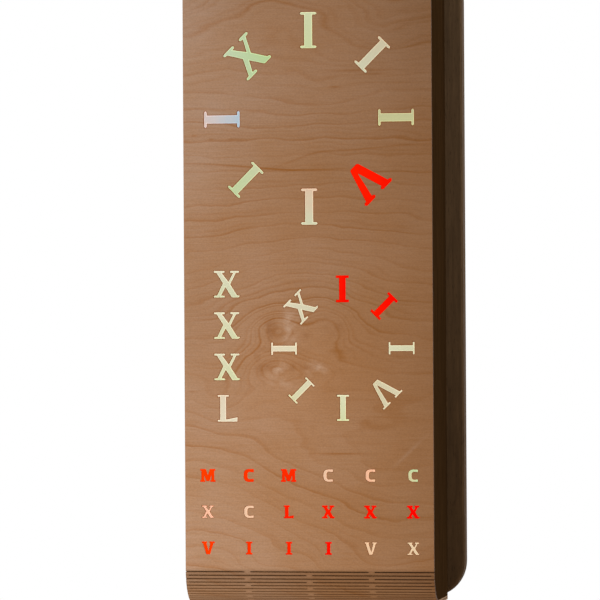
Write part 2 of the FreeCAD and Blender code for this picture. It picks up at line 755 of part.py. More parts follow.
def led_carrier_and_battens():
    """The panel that carries the lamp boards, screwed to a batten on each cheek."""
    width = "2 * %s - 2 * carrier_margin" % INNER_HALF
    low_x = "carrier_margin - %s" % INNER_HALF
    panel = box(
        "carrier_panel", (width, "carrier_thickness", "flat_height"),
        (low_x, "-" + CARRIER_FRONT, "-flat_height / 2"))
    batten_x = "(%s - batten_width / 2)" % INNER_HALF
    levels = ("(flat_height / 2 - batten_inset)", "(%s + row_pitch)" % CALENDAR_LEVEL)
    carrier_back = "(%s - carrier_thickness)" % CARRIER_FRONT
    holes = []
    screws = []
    pilots = {1: [], -1: []}
    for side, word in ((1, "right"), (-1, "left")):
        for k, level in enumerate(levels):
            x = "%d * %s" % (side, batten_x)
            tag = "carrier_%s_%d" % (word, k)
            through = "carrier_thickness + small_bite"
            bore = bar(
                tag + "_bore", SHANK_SIDES, "small_screw + screw_fit",
                through + " + board_clearance", (x, "-" + CARRIER_FRONT, level), "y")
            holes.append(bore)
            pilots[side].append(bore)
            screws.append(screw(
                tag, x, "-" + CARRIER_FRONT, level, -1, "small_screw", "small_head",
                "small_head_height", through))
    node("led_carrier", cut("drilled_carrier", panel, holes))
    node("carrier_screws", group("carrier_screw_set", screws))
    battens = []
    for side, word in ((1, "right"), (-1, "left")):
        corner_x = "%s - batten_width" % INNER_HALF if side > 0 else "-%s" % INNER_HALF
        strip = box(
            word + "_front_strip", ("batten_width", "batten_width", "flat_height"),
            (corner_x, "-" + carrier_back, "-flat_height / 2"))
        battens.append(cut(word + "_front_batten", strip, pilots[side]))
    node("front_battens", group("front_batten_pair", battens))


def rear_battens_and_screws():
    """Battens along the cheeks, and the screws that hold the housing to them from behind."""
    batten_x = "(%s - batten_width / 2)" % INNER_HALF
    battens = []
    screws = []
    bores = []
    for side, word in ((1, "right"), (-1, "left")):
        pilots = []
        for end in (1, -1):
            x = "%d * %s" % (side, batten_x)
            z = "%d * (flat_height / 2 - case_screw_inset)" % end
            tag = "case_%s_%d" % (word, end + 1)
            length = "housing_depth - screw_sink + screw_bite"
            bore = bar(
                tag + "_bore", SHANK_SIDES, "screw_radius + screw_fit",
                length + " + board_clearance", (x, "-screw_sink", z), "-y")
            sink = bar(
                tag + "_sink", ROUND_SIDES, "screw_head + screw_fit", "screw_sink",
                (x, "0", z), "-y")
            pilots.append(bore)
            bores.extend((bore, sink))
            screws.append(screw(
                tag, x, "-screw_sink", z, 1, "screw_radius", "screw_head",
                "screw_head_height", length))
        corner_x = "%s - batten_width" % INNER_HALF if side > 0 else "-%s" % INNER_HALF
        strip = box(
            word + "_rear_strip", ("batten_width", "batten_width", "flat_height"),
            (corner_x, "-housing_depth - batten_width", "-flat_height / 2"))
        battens.append(cut(word + "_rear_batten", strip, pilots))
    node("rear_battens", group("rear_batten_pair", battens))
    node("case_screws", group("case_screw_set", screws))
    cleats = []
    for end, word in ((1, "top"), (-1, "bottom")):
        inside = "(%s - skin_thickness)" % HALF_HEIGHT
        low_z = "%s - batten_width" % inside if end > 0 else "-%s" % inside
        cleats.append(box(
            word + "_cleat", ("cleat_length", "batten_width", "batten_width"),
            ("-cleat_length / 2", "-housing_depth - batten_width", low_z)))
    node("end_cleats", group("cleat_pair", cleats))
    return bores


COMPARTMENT_FLOOR = "(%s + compartment_wall)" % HOUSING_BOTTOM
BOARD_BOTTOM = "(%s + compartment_wall + board_rise)" % HOUSING_BOTTOM
BOARD_TOP = "(%s + compartment_wall + compartment_height - board_clearance)" % HOUSING_BOTTOM
BOARD_HALF = "(compartment_width / 2 - board_clearance)"
BOARD_BACK = "(housing_depth - board_thickness)"
BUTTON_DEPTH = "(housing_depth - board_thickness - switch_depth / 2)"
INLET_DEPTH = "(housing_depth - board_thickness - inlet_depth / 2)"
BUTTON_COLUMNS = ("-2", "-1", "0")


def button_x(column):
    return "(%s * button_pitch)" % column


def post_points():
    """The centres of the four posts that hold the control board."""
    points = []
    for side in (1, -1):
        for level in ("%s + post_inset" % BOARD_BOTTOM, "%s - post_inset" % BOARD_TOP):
            points.append(("%d * (%s - post_inset)" % (side, BOARD_HALF), level))
    return points


def rear_housing(screw_bores):
    """The dark back with round corners: control compartment, hangers and screw holes."""
    body = doc.addObject("PartDesign::Body", "housing_body")
    sketch = new_sketch(body, "XZ_Plane", "housing_outline")
    height = "flat_height + 2 * bend_radius - 2 * housing_inset"
    centred_rectangle(sketch, "front_width + 2 * housing_rim", height)
    block = pad(body, sketch, "housing_depth", "housing_block")

    def along_depth(edge):
        return runs_along(edge, Vector(0, 1, 0))

    corners = dress(body, "Fillet", block, along_depth, "housing_corner", "housing_corners")

    def front_rim(edge):
        return abs(edge.CenterOfMass.y + size["housing_depth"]) < 1e-6

    dress(body, "Chamfer", corners, front_rim, "housing_edge", "housing_front_edge")

    room = box(
        "compartment_room",
        ("compartment_width", "housing_depth - compartment_back", "compartment_height"),
        ("-compartment_width / 2", "-housing_depth", COMPARTMENT_FLOOR))
    posts = []
    tools = list(screw_bores)
    for k, (x, z) in enumerate(post_points()):
        posts.append(box(
            "post_%d" % k, ("post_width", BOARD_BACK + " - compartment_back", "post_width"),
            (x + " - post_width / 2", "-" + BOARD_BACK, z + " - post_width / 2")))
        tools.append(bar(
            "post_bore_%d" % k, SHANK_SIDES, "small_screw + screw_fit",
            "small_bite + board_clearance", (x, "-" + BOARD_BACK, z), "y"))
    tools.append(cut("compartment", room, posts))
    wall_base = (HOUSING_BOTTOM + " - board_clearance")
    wall_reach = "compartment_wall + 2 * board_clearance"
    for column in BUTTON_COLUMNS:
        tools.append(bar(
            "button_hole" + column, SMOOTH_SIDES, "button_radius + button_fit", wall_reach,
            (button_x(column), "-" + BUTTON_DEPTH, wall_base), "z"))
    tools.append(bar(
        "inlet_hole", ROUND_SIDES, "inlet_nose + glue_gap", wall_reach,
        ("inlet_shift", "-" + INLET_DEPTH, wall_base), "z"))
    tools.extend(hangers())
    node("rear_housing", cut("finished_housing", body, tools))


def hangers():
    """The two keyhole plates, let into the back, and their screws; returns what they remove."""
    level = "(%s - housing_inset - hanger_drop)" % HALF_HEIGHT
    plates = []
    screws = []
    tools = []
    seat = "(hanger_thickness + hanger_sink)"
    for side, word in ((1, "right"), (-1, "left")):
        x = "%d * hanger_shift" % side
        plate = box(
            word + "_hanger_blank", ("hanger_width", "hanger_thickness", "hanger_height"),
            (x + " - hanger_width / 2", "-" + seat, level + " - hanger_height / 2"))
        tools.append(box(
            word + "_hanger_seat",
            ("hanger_width + 2 * glue_gap", seat, "hanger_height + 2 * glue_gap"),
            (x + " - hanger_width / 2 - glue_gap", "-" + seat,
             level + " - hanger_height / 2 - glue_gap")))
        tools.append(box(
            word + "_nail_room", ("nail_room_width", "nail_room_depth", "nail_room_height"),
            (x + " - nail_room_width / 2", "-%s - nail_room_depth" % seat,
             level + " - nail_room_height / 2")))
        low_z = level + " - keyhole_rise / 2"
        high_z = level + " + keyhole_rise / 2"
        entry = bar(word + "_entry", SMOOTH_SIDES, "keyhole_entry", seat, (x, "0", low_z), "-y")
        slot_end = bar(
            word + "_slot_end", SMOOTH_SIDES, "keyhole_slot", seat, (x, "0", high_z), "-y")
        slot = box(
            word + "_slot", ("2 * keyhole_slot", seat, "keyhole_rise"),
            (x + " - keyhole_slot", "-" + seat, low_z))
        holes = [fuse(word + "_keyhole", [entry, slot_end, slot])]
        for end in (1, -1):
            z = level + " + %d * (hanger_height / 2 - hanger_screw_inset)" % end
            tag = "%s_hanger_%d" % (word, end + 1)
            bore = bar(
                tag + "_bore", SHANK_SIDES, "small_screw + screw_fit",
                seat + " + small_bite + board_clearance", (x, "0", z), "-y")
            tools.append(bore)
            holes.append(bore)
            screws.append(screw(
                tag, x, "-" + seat + " + hanger_thickness", z, 1, "small_screw", "small_head",
                "hanger_sink", "small_bite + hanger_thickness"))
        plates.append(cut(word + "_hanger", plate, holes))
    node("keyhole_plates", group("hanger_pair", plates))
    node("hanger_screws", group("hanger_screw_set", screws))
    return tools


def control_board():
    board = box(
        "board_blank",
        ("2 * %s" % BOARD_HALF, "board_thickness", "%s - %s" % (BOARD_TOP, BOARD_BOTTOM)),
        ("-%s" % BOARD_HALF, "-housing_depth", BOARD_BOTTOM))
    holes = []
    screws = []
    for k, (x, z) in enumerate(post_points()):
        base = (x, "-housing_depth", z)
        length = "board_thickness + small_bite"
        holes.append(bar(
            "board_hole_%d" % k, SHANK_SIDES, "small_screw + screw_fit", "board_thickness",
            base, "y"))
        screws.append(screw(
            "board_screw_%d" % k, x, "-housing_depth", z, -1, "small_screw", "small_head",
            "small_head_height", length))
    node("control_board", cut("drilled_board", board, holes))
    node("board_screws", group("board_screw_set", screws))
    middle = "((%s + %s) / 2)" % (BOARD_BOTTOM, BOARD_TOP)
    chip = box(
        "chip_body", ("chip_width", "chip_thickness", "chip_width"),
        ("-chip_shift - chip_width / 2", "-housing_depth - chip_thickness",
         middle + " - chip_width / 2"))
    node("control_chip", chip)
    outside = bar(
        "holder_outside", SMOOTH_SIDES, "cell_radius + holder_wall",
        "holder_base + cell_thickness", ("holder_shift", "-housing_depth", middle), "-y")
    inside = bar(
        "holder_inside", SMOOTH_SIDES, "cell_radius + glue_gap", "cell_thickness",
        ("holder_shift", "-housing_depth - holder_base", middle), "-y")
    node("backup_cell_holder", cut("holder_cup", outside, [inside]))
    cell = bar(
        "cell_disc", SMOOTH_SIDES, "cell_radius", "cell_thickness",
        ("holder_shift", "-housing_depth - holder_base", middle), "-y")
    node("backup_cell", cell)


def setting_buttons():
    """Caps that slide up through the housing's lower wall, each on its own switch."""
    rim = "(button_reach + compartment_wall + flange_gap)"
    start_z = "(%s - button_reach)" % HOUSING_BOTTOM
    switches = []
    for k, column in enumerate(BUTTON_COLUMNS):
        label = "setting_button_%d" % (k + 1)
        x = button_x(column)
        y = "-" + BUTTON_DEPTH
        cap = bar(label + "_cap", SMOOTH_SIDES, "button_radius", rim, (x, y, start_z), "z")
        flange = bar(
            label + "_flange", ROUND_SIDES, "flange_radius", "flange_thickness",
            (x, y, "%s + %s" % (start_z, rim)), "z")
        plunger = bar(
            label + "_plunger", SHANK_SIDES, "plunger_radius", "plunger_length",
            (x, y, "%s + %s + flange_thickness" % (start_z, rim)), "z")
        node(label, fuse(label + "_body", [cap, flange, plunger]))
        floor_z = (
            "%s + flange_gap + flange_thickness + button_travel + switch_gap" % COMPARTMENT_FLOOR)
        case = box(
            "switch_case_%d" % k, ("switch_width", "switch_depth", "switch_length"),
            (x + " - switch_width / 2", "-" + BOARD_BACK, floor_z))
        bore = bar(
            "switch_bore_%d" % k, SHANK_SIDES, "plunger_radius + button_fit",
            "plunger_length - switch_gap + plunger_room", (x, y, floor_z), "z")
        switches.append(cut("switch_%d" % k, case, [bore]))
    node("push_switches", group("switch_set", switches))


def dc_inlet():
    """The low-voltage socket on the board, its nose in the housing's lower wall."""
    low_z = "%s + glue_gap" % COMPARTMENT_FLOOR
    case = box(
        "inlet_case", ("inlet_width", "inlet_depth", "inlet_length"),
        ("inlet_shift - inlet_width / 2", "-" + BOARD_BACK, low_z))
    nose_length = "compartment_wall + glue_gap - inlet_recess"
    mouth_z = "%s + inlet_recess" % HOUSING_BOTTOM
    nose = bar(
        "inlet_nose_tube", ROUND_SIDES, "inlet_nose", nose_length + " + glue_gap",
        ("inlet_shift", "-" + INLET_DEPTH, mouth_z), "z")
    bore = bar(
        "inlet_bore_hole", ROUND_SIDES, "inlet_bore", nose_length + " + inlet_length / 3",
        ("inlet_shift", "-" + INLET_DEPTH, mouth_z), "z")
    node("dc_inlet", cut("inlet_socket", fuse("inlet_outside", [case, nose]), [bore]))
    bore_end = "%s + %s + inlet_length / 3" % (mouth_z, nose_length)
    pin = bar(
        "inlet_pin_bar", SHANK_SIDES, "inlet_pin", "inlet_pin_length",
        ("inlet_shift", "-" + INLET_DEPTH, bore_end), "-z")
    node("dc_inlet_pin", pin)


def ribbon_cable():
    """The flat cable from the control board forward to the back of the carrier."""
    low_z = housing_bottom + size["compartment_wall"] + size["compartment_height"]
    start_z = low_z - size["board_clearance"] - size["cable_bend"]
    start_y = -size["housing_depth"]
    end_y = carrier_back_y
    thick = size["cable_thickness"]
    bend = size["cable_bend"]
    middle_y = (start_y + end_y) / 2
    end_z = start_z + 4 * bend
    outer = bend + thick
    outline = [
        (start_y, start_z, 0), (middle_y - thick / 2, start_z, outer),
        (middle_y - thick / 2, end_z - thick, bend), (end_y, end_z - thick, 0),
        (end_y, end_z, 0), (middle_y + thick / 2, end_z, outer),
        (middle_y + thick / 2, start_z + thick, bend), (start_y, start_z + thick, 0),
    ]
    face = rounded_face([corner + (2 * BEND_FLATS,) for corner in outline])
    strip = face.extrude(Vector(0, 0, size["cable_width"]))
    feature = solid_feature("cable_strip", [strip])
    upright = Rotation(Vector(1, 1, 1), 120)
    feature.Placement = Placement(Vector(-size["cable_width"] / 2, 0, 0), upright)
    node("ribbon_cable", feature)


front_shell()
cheek("left_cheek", -1)
cheek("right_cheek", 1)
inserts()
ring_light_box("hour", "hour_ring", "hour_height", "hour_shift", HOUR_LEVEL)
ring_light_box("minute", "minute_ring", "minute_height", "minute_shift", MINUTE_LEVEL)
grid_light_box(
    "tens", 1, "-tens_shift", "(tens_height / 2 + cell_margin)", len(TENS_LETTERS), TENS_LEVEL,
    "lamp_pitch")
grid_light_box(
    "calendar", 6, "-5 * lamp_pitch / 2", "(%s - carrier_margin)" % INNER_HALF,
    len(CALENDAR_ROWS), CALENDAR_LEVEL, "row_pitch")
lamps()
led_carrier_and_battens()
rear_housing(rear_battens_and_screws())
control_board()
setting_buttons()
dc_inlet()
ribbon_cable()
doc.recompute()

for obj in doc.Objects:
    if "Invalid" in obj.State or "Error" in obj.State:
        raise RuntimeError("object %s failed: %s" % (obj.Label, obj.State))
for label, obj in nodes.items():
    if obj.Shape.isNull() or not obj.Shape.isValid() or not obj.Shape.Solids:
        raise RuntimeError("sub-part %s has no valid solid" % label)

os.makedirs("parts", exist_ok=True)
for label, obj in nodes.items():
    obj.Shape.exportStep("parts/%s.step" % label)
print("sub-parts:", len(nodes))
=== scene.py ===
import math

import bmesh
import bpy
from mathutils import Matrix, Vector


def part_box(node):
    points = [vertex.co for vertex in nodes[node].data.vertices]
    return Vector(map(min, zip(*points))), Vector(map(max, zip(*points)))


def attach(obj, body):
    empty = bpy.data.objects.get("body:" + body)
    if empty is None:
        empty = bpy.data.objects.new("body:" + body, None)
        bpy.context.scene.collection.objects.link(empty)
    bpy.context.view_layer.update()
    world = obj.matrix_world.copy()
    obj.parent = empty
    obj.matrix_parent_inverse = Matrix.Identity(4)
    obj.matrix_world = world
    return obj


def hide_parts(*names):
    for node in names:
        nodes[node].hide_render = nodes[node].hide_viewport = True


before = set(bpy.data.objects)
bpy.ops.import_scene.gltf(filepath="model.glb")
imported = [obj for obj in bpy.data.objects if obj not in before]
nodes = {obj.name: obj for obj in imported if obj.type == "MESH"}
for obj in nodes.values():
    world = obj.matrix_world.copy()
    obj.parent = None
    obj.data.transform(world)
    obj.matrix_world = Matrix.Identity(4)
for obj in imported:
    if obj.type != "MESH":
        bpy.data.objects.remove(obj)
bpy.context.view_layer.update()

# The bent sheet of the front as in the part, in metres.
FRONT_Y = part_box("front_shell")[0].y  # of its outer face
HALF_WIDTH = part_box("front_shell")[1].x
HALF_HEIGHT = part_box("front_shell")[1].z
SHEET_THICKNESS = 0.003
BEND_RADIUS = 0.028  # of the outside of its two bends
FLAT_END = HALF_HEIGHT - BEND_RADIUS  # the height at which its flat part ends
HINGE_ROWS = 15  # rows of slits in each bend

# Sockets of the Mix node that carry colours: the first, the second and the result.
MIX_FIRST, MIX_SECOND, MIX_RESULT = 6, 7, 2


def linear(red, green, blue):
    """An sRGB colour of 0 to 255 as linear light."""
    parts = []
    for value in (red, green, blue):
        share = value / 255
        parts.append(share / 12.92 if share <= 0.04045 else ((share + 0.055) / 1.055) ** 2.4)
    return tuple(parts)


class Graph:
    """A material and short calls for its nodes. Values may be numbers, colours or sockets."""

    def __init__(self, name):
        self.material = bpy.data.materials.new(name)
        self.material.use_nodes = True
        self.tree = self.material.node_tree
        self.tree.nodes.clear()
        output = self.tree.nodes.new("ShaderNodeOutputMaterial")
        self.shader = self.tree.nodes.new("ShaderNodeBsdfPrincipled")
        self.tree.links.new(self.shader.outputs[0], output.inputs["Surface"])
        self.where = self.tree.nodes.new("ShaderNodeTexCoord").outputs["Object"]

    def feed(self, socket, value):
        """Link the input to a socket, or set it to a number or a colour."""
        if isinstance(value, bpy.types.NodeSocket):
            self.tree.links.new(value, socket)
        elif isinstance(value, (tuple, list)) and socket.type == "RGBA":
            socket.default_value = tuple(value[:3]) + (1.0,)
        else:
            socket.default_value = value

    def set(self, name, value):
        """Feed one of the shader's own inputs."""
        self.feed(self.shader.inputs[name], value)

    def surface(self, colour, roughness, shine=None):
        """The shader's colour and roughness, and its shine where that isn't the usual one."""
        self.set("Base Color", colour)
        self.set("Roughness", roughness)
        if shine is not None:
            self.set("Specular IOR Level", shine)

    def bump(self, height, depth, strength=0.4):
        """Relief on the surface, so many metres deep."""
        node = self.tree.nodes.new("ShaderNodeBump")
        node.inputs["Strength"].default_value = strength
        node.inputs["Distance"].default_value = depth
        self.feed(node.inputs["Height"], height)
        self.tree.links.new(node.outputs[0], self.shader.inputs["Normal"])

    def math(self, operation, *values):
        """One step of arithmetic, by Blender's name for it."""
        node = self.tree.nodes.new("ShaderNodeMath")
        node.operation = operation
        for socket, value in zip(node.inputs, values):
            self.feed(socket, value)
        return node.outputs[0]

    def plus(self, total, *others):
        """The sum of the values."""
        for other in others:
            total = self.math("ADD", total, other)
        return total

    def plus_times(self, total, value, factor):
        """The total plus the value times the factor."""
        return self.math("MULTIPLY_ADD", value, factor, total)

    def minus(self, first, second):
        """The first value less the second."""
        return self.math("SUBTRACT", first, second)

    def times(self, product, *others):
        """The product of the values."""
        for other in others:
            product = self.math("MULTIPLY", product, other)
        return product

    def size(self, value):
        """The value without its sign."""
        return self.math("ABSOLUTE", value)

    def at_least(self, value, limit):
        """The value, or the limit where that is larger."""
        return self.math("MAXIMUM", value, limit)

    def above(self, value, limit):
        """One where the value is above the limit, elsewhere nothing."""
        return self.math("GREATER_THAN", value, limit)

    def below(self, value, limit):
        """One where the value is below the limit, elsewhere nothing."""
        return self.math("LESS_THAN", value, limit)

    def axes(self, vector=None):
        """The three parts of a vector, or else of the place on the object."""
        node = self.tree.nodes.new("ShaderNodeSeparateXYZ")
        self.feed(node.inputs[0], self.where if vector is None else vector)
        return node.outputs[0], node.outputs[1], node.outputs[2]

    def facing(self):
        """The three parts of the surface's direction."""
        node = self.tree.nodes.new("ShaderNodeNewGeometry")
        return self.axes(node.outputs["Normal"])

    def point(self, x, y, z):
        """A vector made of its three parts."""
        node = self.tree.nodes.new("ShaderNodeCombineXYZ")
        for socket, value in zip(node.inputs, (x, y, z)):
            self.feed(socket, value)
        return node.outputs[0]

    def noise(self, lumps, detail=2.0, roughness=0.5, distortion=0.0, place=None):
        """Noise with so many lumps to the metre: one number, or a tuple of one for each axis."""
        vector, scale = self.where if place is None else place, lumps
        if isinstance(lumps, tuple):
            stretch = self.tree.nodes.new("ShaderNodeVectorMath")
            stretch.operation = "MULTIPLY"
            self.feed(stretch.inputs[0], vector)
            stretch.inputs[1].default_value = lumps
            vector, scale = stretch.outputs[0], 1.0
        node = self.tree.nodes.new("ShaderNodeTexNoise")
        self.feed(node.inputs["Vector"], vector)
        for name, number in (("Scale", scale), ("Detail", detail), ("Roughness", roughness),
                             ("Distortion", distortion)):
            node.inputs[name].default_value = number
        return node.outputs[0]

    def dice(self, value):
        """A number from nothing to one for each whole value, always the same for the same."""
        node = self.tree.nodes.new("ShaderNodeTexWhiteNoise")
        node.noise_dimensions = "1D"
        self.feed(node.inputs["W"], self.math("FLOOR", value))
        return node.outputs["Value"]

    def span(self, value, low, high, to_low=0.0, to_high=1.0, smooth=False):
        """The value's place between low and high, kept within the two ends."""
        node = self.tree.nodes.new("ShaderNodeMapRange")
        node.interpolation_type = "SMOOTHSTEP" if smooth else "LINEAR"
        self.feed(node.inputs["Value"], value)
        for name, number in (("From Min", low), ("From Max", high),
                             ("To Min", to_low), ("To Max", to_high)):
            node.inputs[name].default_value = number
        return node.outputs["Result"]

    def spread(self, noise, to_low=0.0, to_high=1.0, reach=0.2):
        """Noise, which seldom strays from 0.5 by more than the reach, between two numbers."""
        return self.span(noise, 0.5 - reach, 0.5 + reach, to_low, to_high)

    def bell(self, value, centre, wide):
        """One where the value is at the centre, falling smoothly to nothing on both sides."""
        apart = self.plus_times(-centre / wide, value, 1 / wide)
        return self.math("EXPONENT", self.times(apart, apart, -1.0))

    def swell(self, x, z, centre_x, centre_z, wide, tall):
        """One at a place given in millimetres, falling smoothly to nothing round it."""
        across = self.plus_times(-centre_x / wide, x, 1000 / wide)
        along = self.plus_times(-centre_z / tall, z, 1000 / tall)
        apart = self.plus_times(self.times(across, across), along, along)
        return self.math("EXPONENT", self.times(apart, -1.0))

    def swells(self, x, z, rows, total=0.0):
        """Swells added up, each times the amount at the end of its row."""
        for row in rows:
            total = self.plus_times(total, self.swell(x, z, *row[:4]), row[4])
        return total

    def mix(self, share, first, second, blend="MIX"):
        """The share of the way from the first colour to the second."""
        node = self.tree.nodes.new("ShaderNodeMix")
        node.data_type = "RGBA"
        node.blend_type = blend
        self.feed(node.inputs[0], share)
        self.feed(node.inputs[MIX_FIRST], first)
        self.feed(node.inputs[MIX_SECOND], second)
        return node.outputs[MIX_RESULT]

    def tinted(self, colour, tint, share=None):
        """The colour times a tint, or only a share of the way there."""
        product = self.mix(1.0, colour, tint, "MULTIPLY")
        return product if share is None else self.mix(share, colour, product)

    def scaled(self, colour, factor):
        """The colour times a number."""
        node = self.tree.nodes.new("ShaderNodeVectorMath")
        node.operation = "SCALE"
        self.feed(node.inputs[0], colour)
        self.feed(node.inputs["Scale"], factor)
        return node.outputs[0]


def paint(material, *labels):
    """Give CAD nodes one material all over."""
    for label in labels:
        mesh = nodes[label].data
        mesh.materials.clear()
        mesh.materials.append(material)
        for polygon in mesh.polygons:
            polygon.material_index = 0


# The front's veneer. Places and reaches in these tables are in millimetres on the unrolled
# sheet, across and up from the middle of the clock. Its growth lines are level but for these
# swells, which push them down: place, reach each way, amount.
LINE_SWELLS = (
    (-23, 226, 62, 34, -30), (54, 190, 41, 24, 12),
    (1, 146, 65, 18, 11), (-5, -22, 60, 46, -30), (14, 33, 90, 48, -11),
    (-27, -37, 18, 14, -28), (-26, -69, 23, 13, -31), (16, -34, 20, 19, -17),
    (8, -73, 26, 8, -12), (-74, -94, 18, 20, 14), (-80, -62, 14, 10, 6),
    (-36, -223, 19, 11, 13), (17, -224, 11, 9, 11), (60, -222, 25, 13, 15),
)
# Below the knot the lines also fall towards the right: by how much in the end, and between
# which sides and heights, in metres, the fall grows.
LINE_FALL = 60.0
FALL_SIDES = (-0.100, 0.075)
FALL_HEIGHTS = (-0.150, -0.084)
# Unevenness of the lines: lumps to the metre each way, roughness, amount.
LINE_WAVES = (((24.0, 1.0, 60.0), 0.4, 13.0), ((90.0, 1.0, 210.0), 0.5, 2.6))
# The count of the lines starts this far above the middle of the clock.
LINE_START = 433.5
# Strong and fine lines: spacing, seed, width as a share of the spacing, and strength of the
# faintest line. Then how dark each kind is.
STRONG_LINES = (13.6, 3.0, 0.08, 0.35)
FINE_LINES = (4.5, 7.4, 0.24, 0.1)
STRONG_TONE = 0.42
FINE_TONE = 0.37
# Fine lines show by this much everywhere, and more where the count of the lines is near these:
# count, reach, weight.
LEAST_CROWD = 0.35
CROWDED_COUNTS = ((189.0, 44.0, 0.9), (80.0, 13.0, 0.8))
# They also crowd round the knot, where all lines are darker but for its left side: place,
# reach each way, amount.
CROWDED_KNOT = ((-12, -52, 56, 38, 1.0),)
DARKER_KNOT = ((-12, -52, 44, 34, 0.7), (-46, -41, 11, 17, -0.75))
# Two dark streaks, in metres: height at the left, then climbs as start, end and rise. Their
# reach up and down is in millimetres.
UPPER_STREAK = (0.0957, ((-0.100, 0.005, -0.0064), (0.005, 0.101, -0.0024)))
LOWER_STREAK = (0.0917, ((-0.035, 0.018, 0.013), (0.018, 0.101, 0.005)))
STREAK_REACH = 0.8
# The upper one's strength, and how much it gains round a place: place, reach, gain. The lower
# one's strength, and where it sets in.
UPPER_LEAST = 0.22
UPPER_MIDDLE = -0.028
UPPER_LENGTH = 0.05
UPPER_GAIN = 0.4
LOWER_STRENGTH = 0.28
LOWER_SETS_IN = (-0.035, -0.01)
# Lines and streaks fade towards the top: two heights in metres, and the tone left at each.
TOP_FADING = (0.12, 0.19, 1.0, 0.7)
# Short dark flecks: place, reach each way, depth of tone.
FLECKS = (
    (23, 156, 5, 0.8, 0.8), (27, -138, 19, 0.9, 0.9), (38, 169, 18, 1.0, 0.45),
    (53, 166, 10, 1.2, 0.5), (-92, 118, 2.5, 0.8, 0.5), (-78, 115, 2, 0.8, 0.5),
    (-62, 115, 2.4, 0.8, 0.35), (-95, -88, 6, 0.7, 0.5), (51, -114, 10, 3.2, 0.4),
    (91, -189, 13, 0.7, 0.5), (55, -95, 40, 0.8, 0.25), (62, -109, 36, 0.8, 0.25),
    (62, 169, 36, 0.8, 0.3), (66, 159, 36, 0.7, 0.3), (46, -130, 20, 0.8, 0.2),
    (84, -135, 17, 0.8, 0.22), (28, -124, 20, 0.8, 0.18), (86, -127, 15, 0.7, 0.15),
)
FLECK_TONE = 0.65
# Broad lighter and darker parts: place, reach each way, change of brightness. Brightness also
# changes with the grit, and as painted light falling from the lower left: from left to right,
# and with the height: two heights in metres, and the brightness at each.
BROAD_TONES = (
    (105, 245, 60, 80, -0.16), (-70, 240, 80, 30, -0.07), (-98, -35, 40, 80, -0.085),
    (-8, -75, 50, 46, 0.07), (-10, -170, 70, 90, 0.05), (105, 0, 35, 400, -0.05),
)
GRIT_TONES = (0.93, 1.07)
PAINTED_SIDE_LIGHT = (1.15, 0.80)
PAINTED_HEIGHT_LIGHT = (-0.23, 0.1, 1.05, 0.98)
# How grey the wood is, in the same way: from left to right, by height above and below the
# knot, and by the clouds.
SIDE_GREYS = (0.72, -0.02)
UPPER_GREYS = (-0.02, 0.13, -0.12, 0.16)
LOWER_GREYS = (-0.22, -0.06, 0.14, 0.0)
CLOUD_GREYS = (-0.12, 0.12)
# Milky and dusky patches of the knot: place, reach each way, strength.
MILKY = (
    (-15, -41, 7, 8, 0.9), (-25, -70, 7, 7, 0.9), (7, -70, 7, 5, 1.0), (-21, -82, 10, 4, 0.7),
    (-14, -27, 7, 6, 0.8),
)
DUSKY = (
    (-32, -38, 7, 10, 0.8), (-37, -65, 8, 11, 0.8), (-2, -43, 3, 8, 0.7), (-6, -69, 10, 3, 0.8),
    (22, -35, 7, 8, 0.5),
)
PATCH_STRENGTH = 0.75
# A pale line that climbs to the right above the date, in metres.
PALE_SLOPE = 0.93
PALE_HEIGHT = -0.2125  # where it would cross the middle of the clock
PALE_REACH = 0.0019  # above and below it
PALE_MIDDLE = 0.081  # its own middle, and its reach to each side
PALE_LENGTH = 0.010
PALE_STRENGTH = 0.28

# Colours of the veneer and of what grows in it.
WARM_WOOD = linear(170, 121, 80)
GREY_WOOD = linear(168, 133, 106)
MILKY_WOOD = linear(200, 166, 140)
DUSKY_WOOD = linear(140, 88, 48)
LINE_WOOD = linear(145, 83, 8)
# Fibres and clouds change the yellow of the wood more than its brightness.
DARK_FIBRE = (0.955, 0.92, 0.85)
PALE_FIBRE = (1.05, 1.085, 1.16)
# The plies on the sheet's edge, half the thickness of the middle one, and how much they wave.
MIDDLE_PLY = linear(118, 80, 50)
OUTER_PLY = linear(196, 152, 108)
HALF_PLY = 0.0005
PLY_WOBBLE = 0.00008
# What the laser does to the wood: walls of the letters, walls of the slits from left to right,
# darker to the right as painted shade, and the tint of smoke and that of scorch.
LETTER_CHAR = linear(104, 66, 38)
SLIT_CHAR_AND_SHADE = (linear(150, 106, 70), linear(100, 63, 36))
CHAR_SHARE = 0.92
SMOKE_TINT = linear(210, 207, 202)
SCORCH_TINT = linear(200, 184, 148)
# Smoke sets in and dwindles between these distances from the sheet's upper and lower ends, and
# so much of it is left.
SMOKE_SETS_IN = (0.030, 0.026)
SMOKE_DWINDLES = (0.021, 0.009)
SMOKE_LEFT = 0.4
# How far scorch reaches from a slit, as a share of the rows' pitch, and half a bridge's width.
SCORCH_REACH = 0.3
HALF_BRIDGE = 0.0035
# What tells the parts of the sheet apart: how its surface faces, and lengths in metres.
EDGE_TURN = 0.9  # the edge faces sideways by at least this
LETTER_TURN = 0.5  # a letter's wall faces forwards by less than this
SLIT_TURN = 0.7  # a slit's wall faces out of the bend by less than this
EDGE_SLACK = 0.0003  # the edge is as near as this to the sheet's side
HAIR = 0.0001  # too little to see
LEAST_REACH = 0.001  # keeps a division from nothing
# The front's tones change evenly from this far to the left to as far to the right.
TONE_SIDE = 0.1

PORE_BLACK = (0.008, 0.005, 0.003)
# How much lighter and bluer the rear housing's upper part is painted: painted light.
HOUSING_TOP_LIGHT = (1.42, 1.62, 1.98)


def across(graph, x, left, right):
    """A number that changes evenly from the left of the front to its right."""
    return graph.span(x, -TONE_SIDE, TONE_SIDE, left, right)


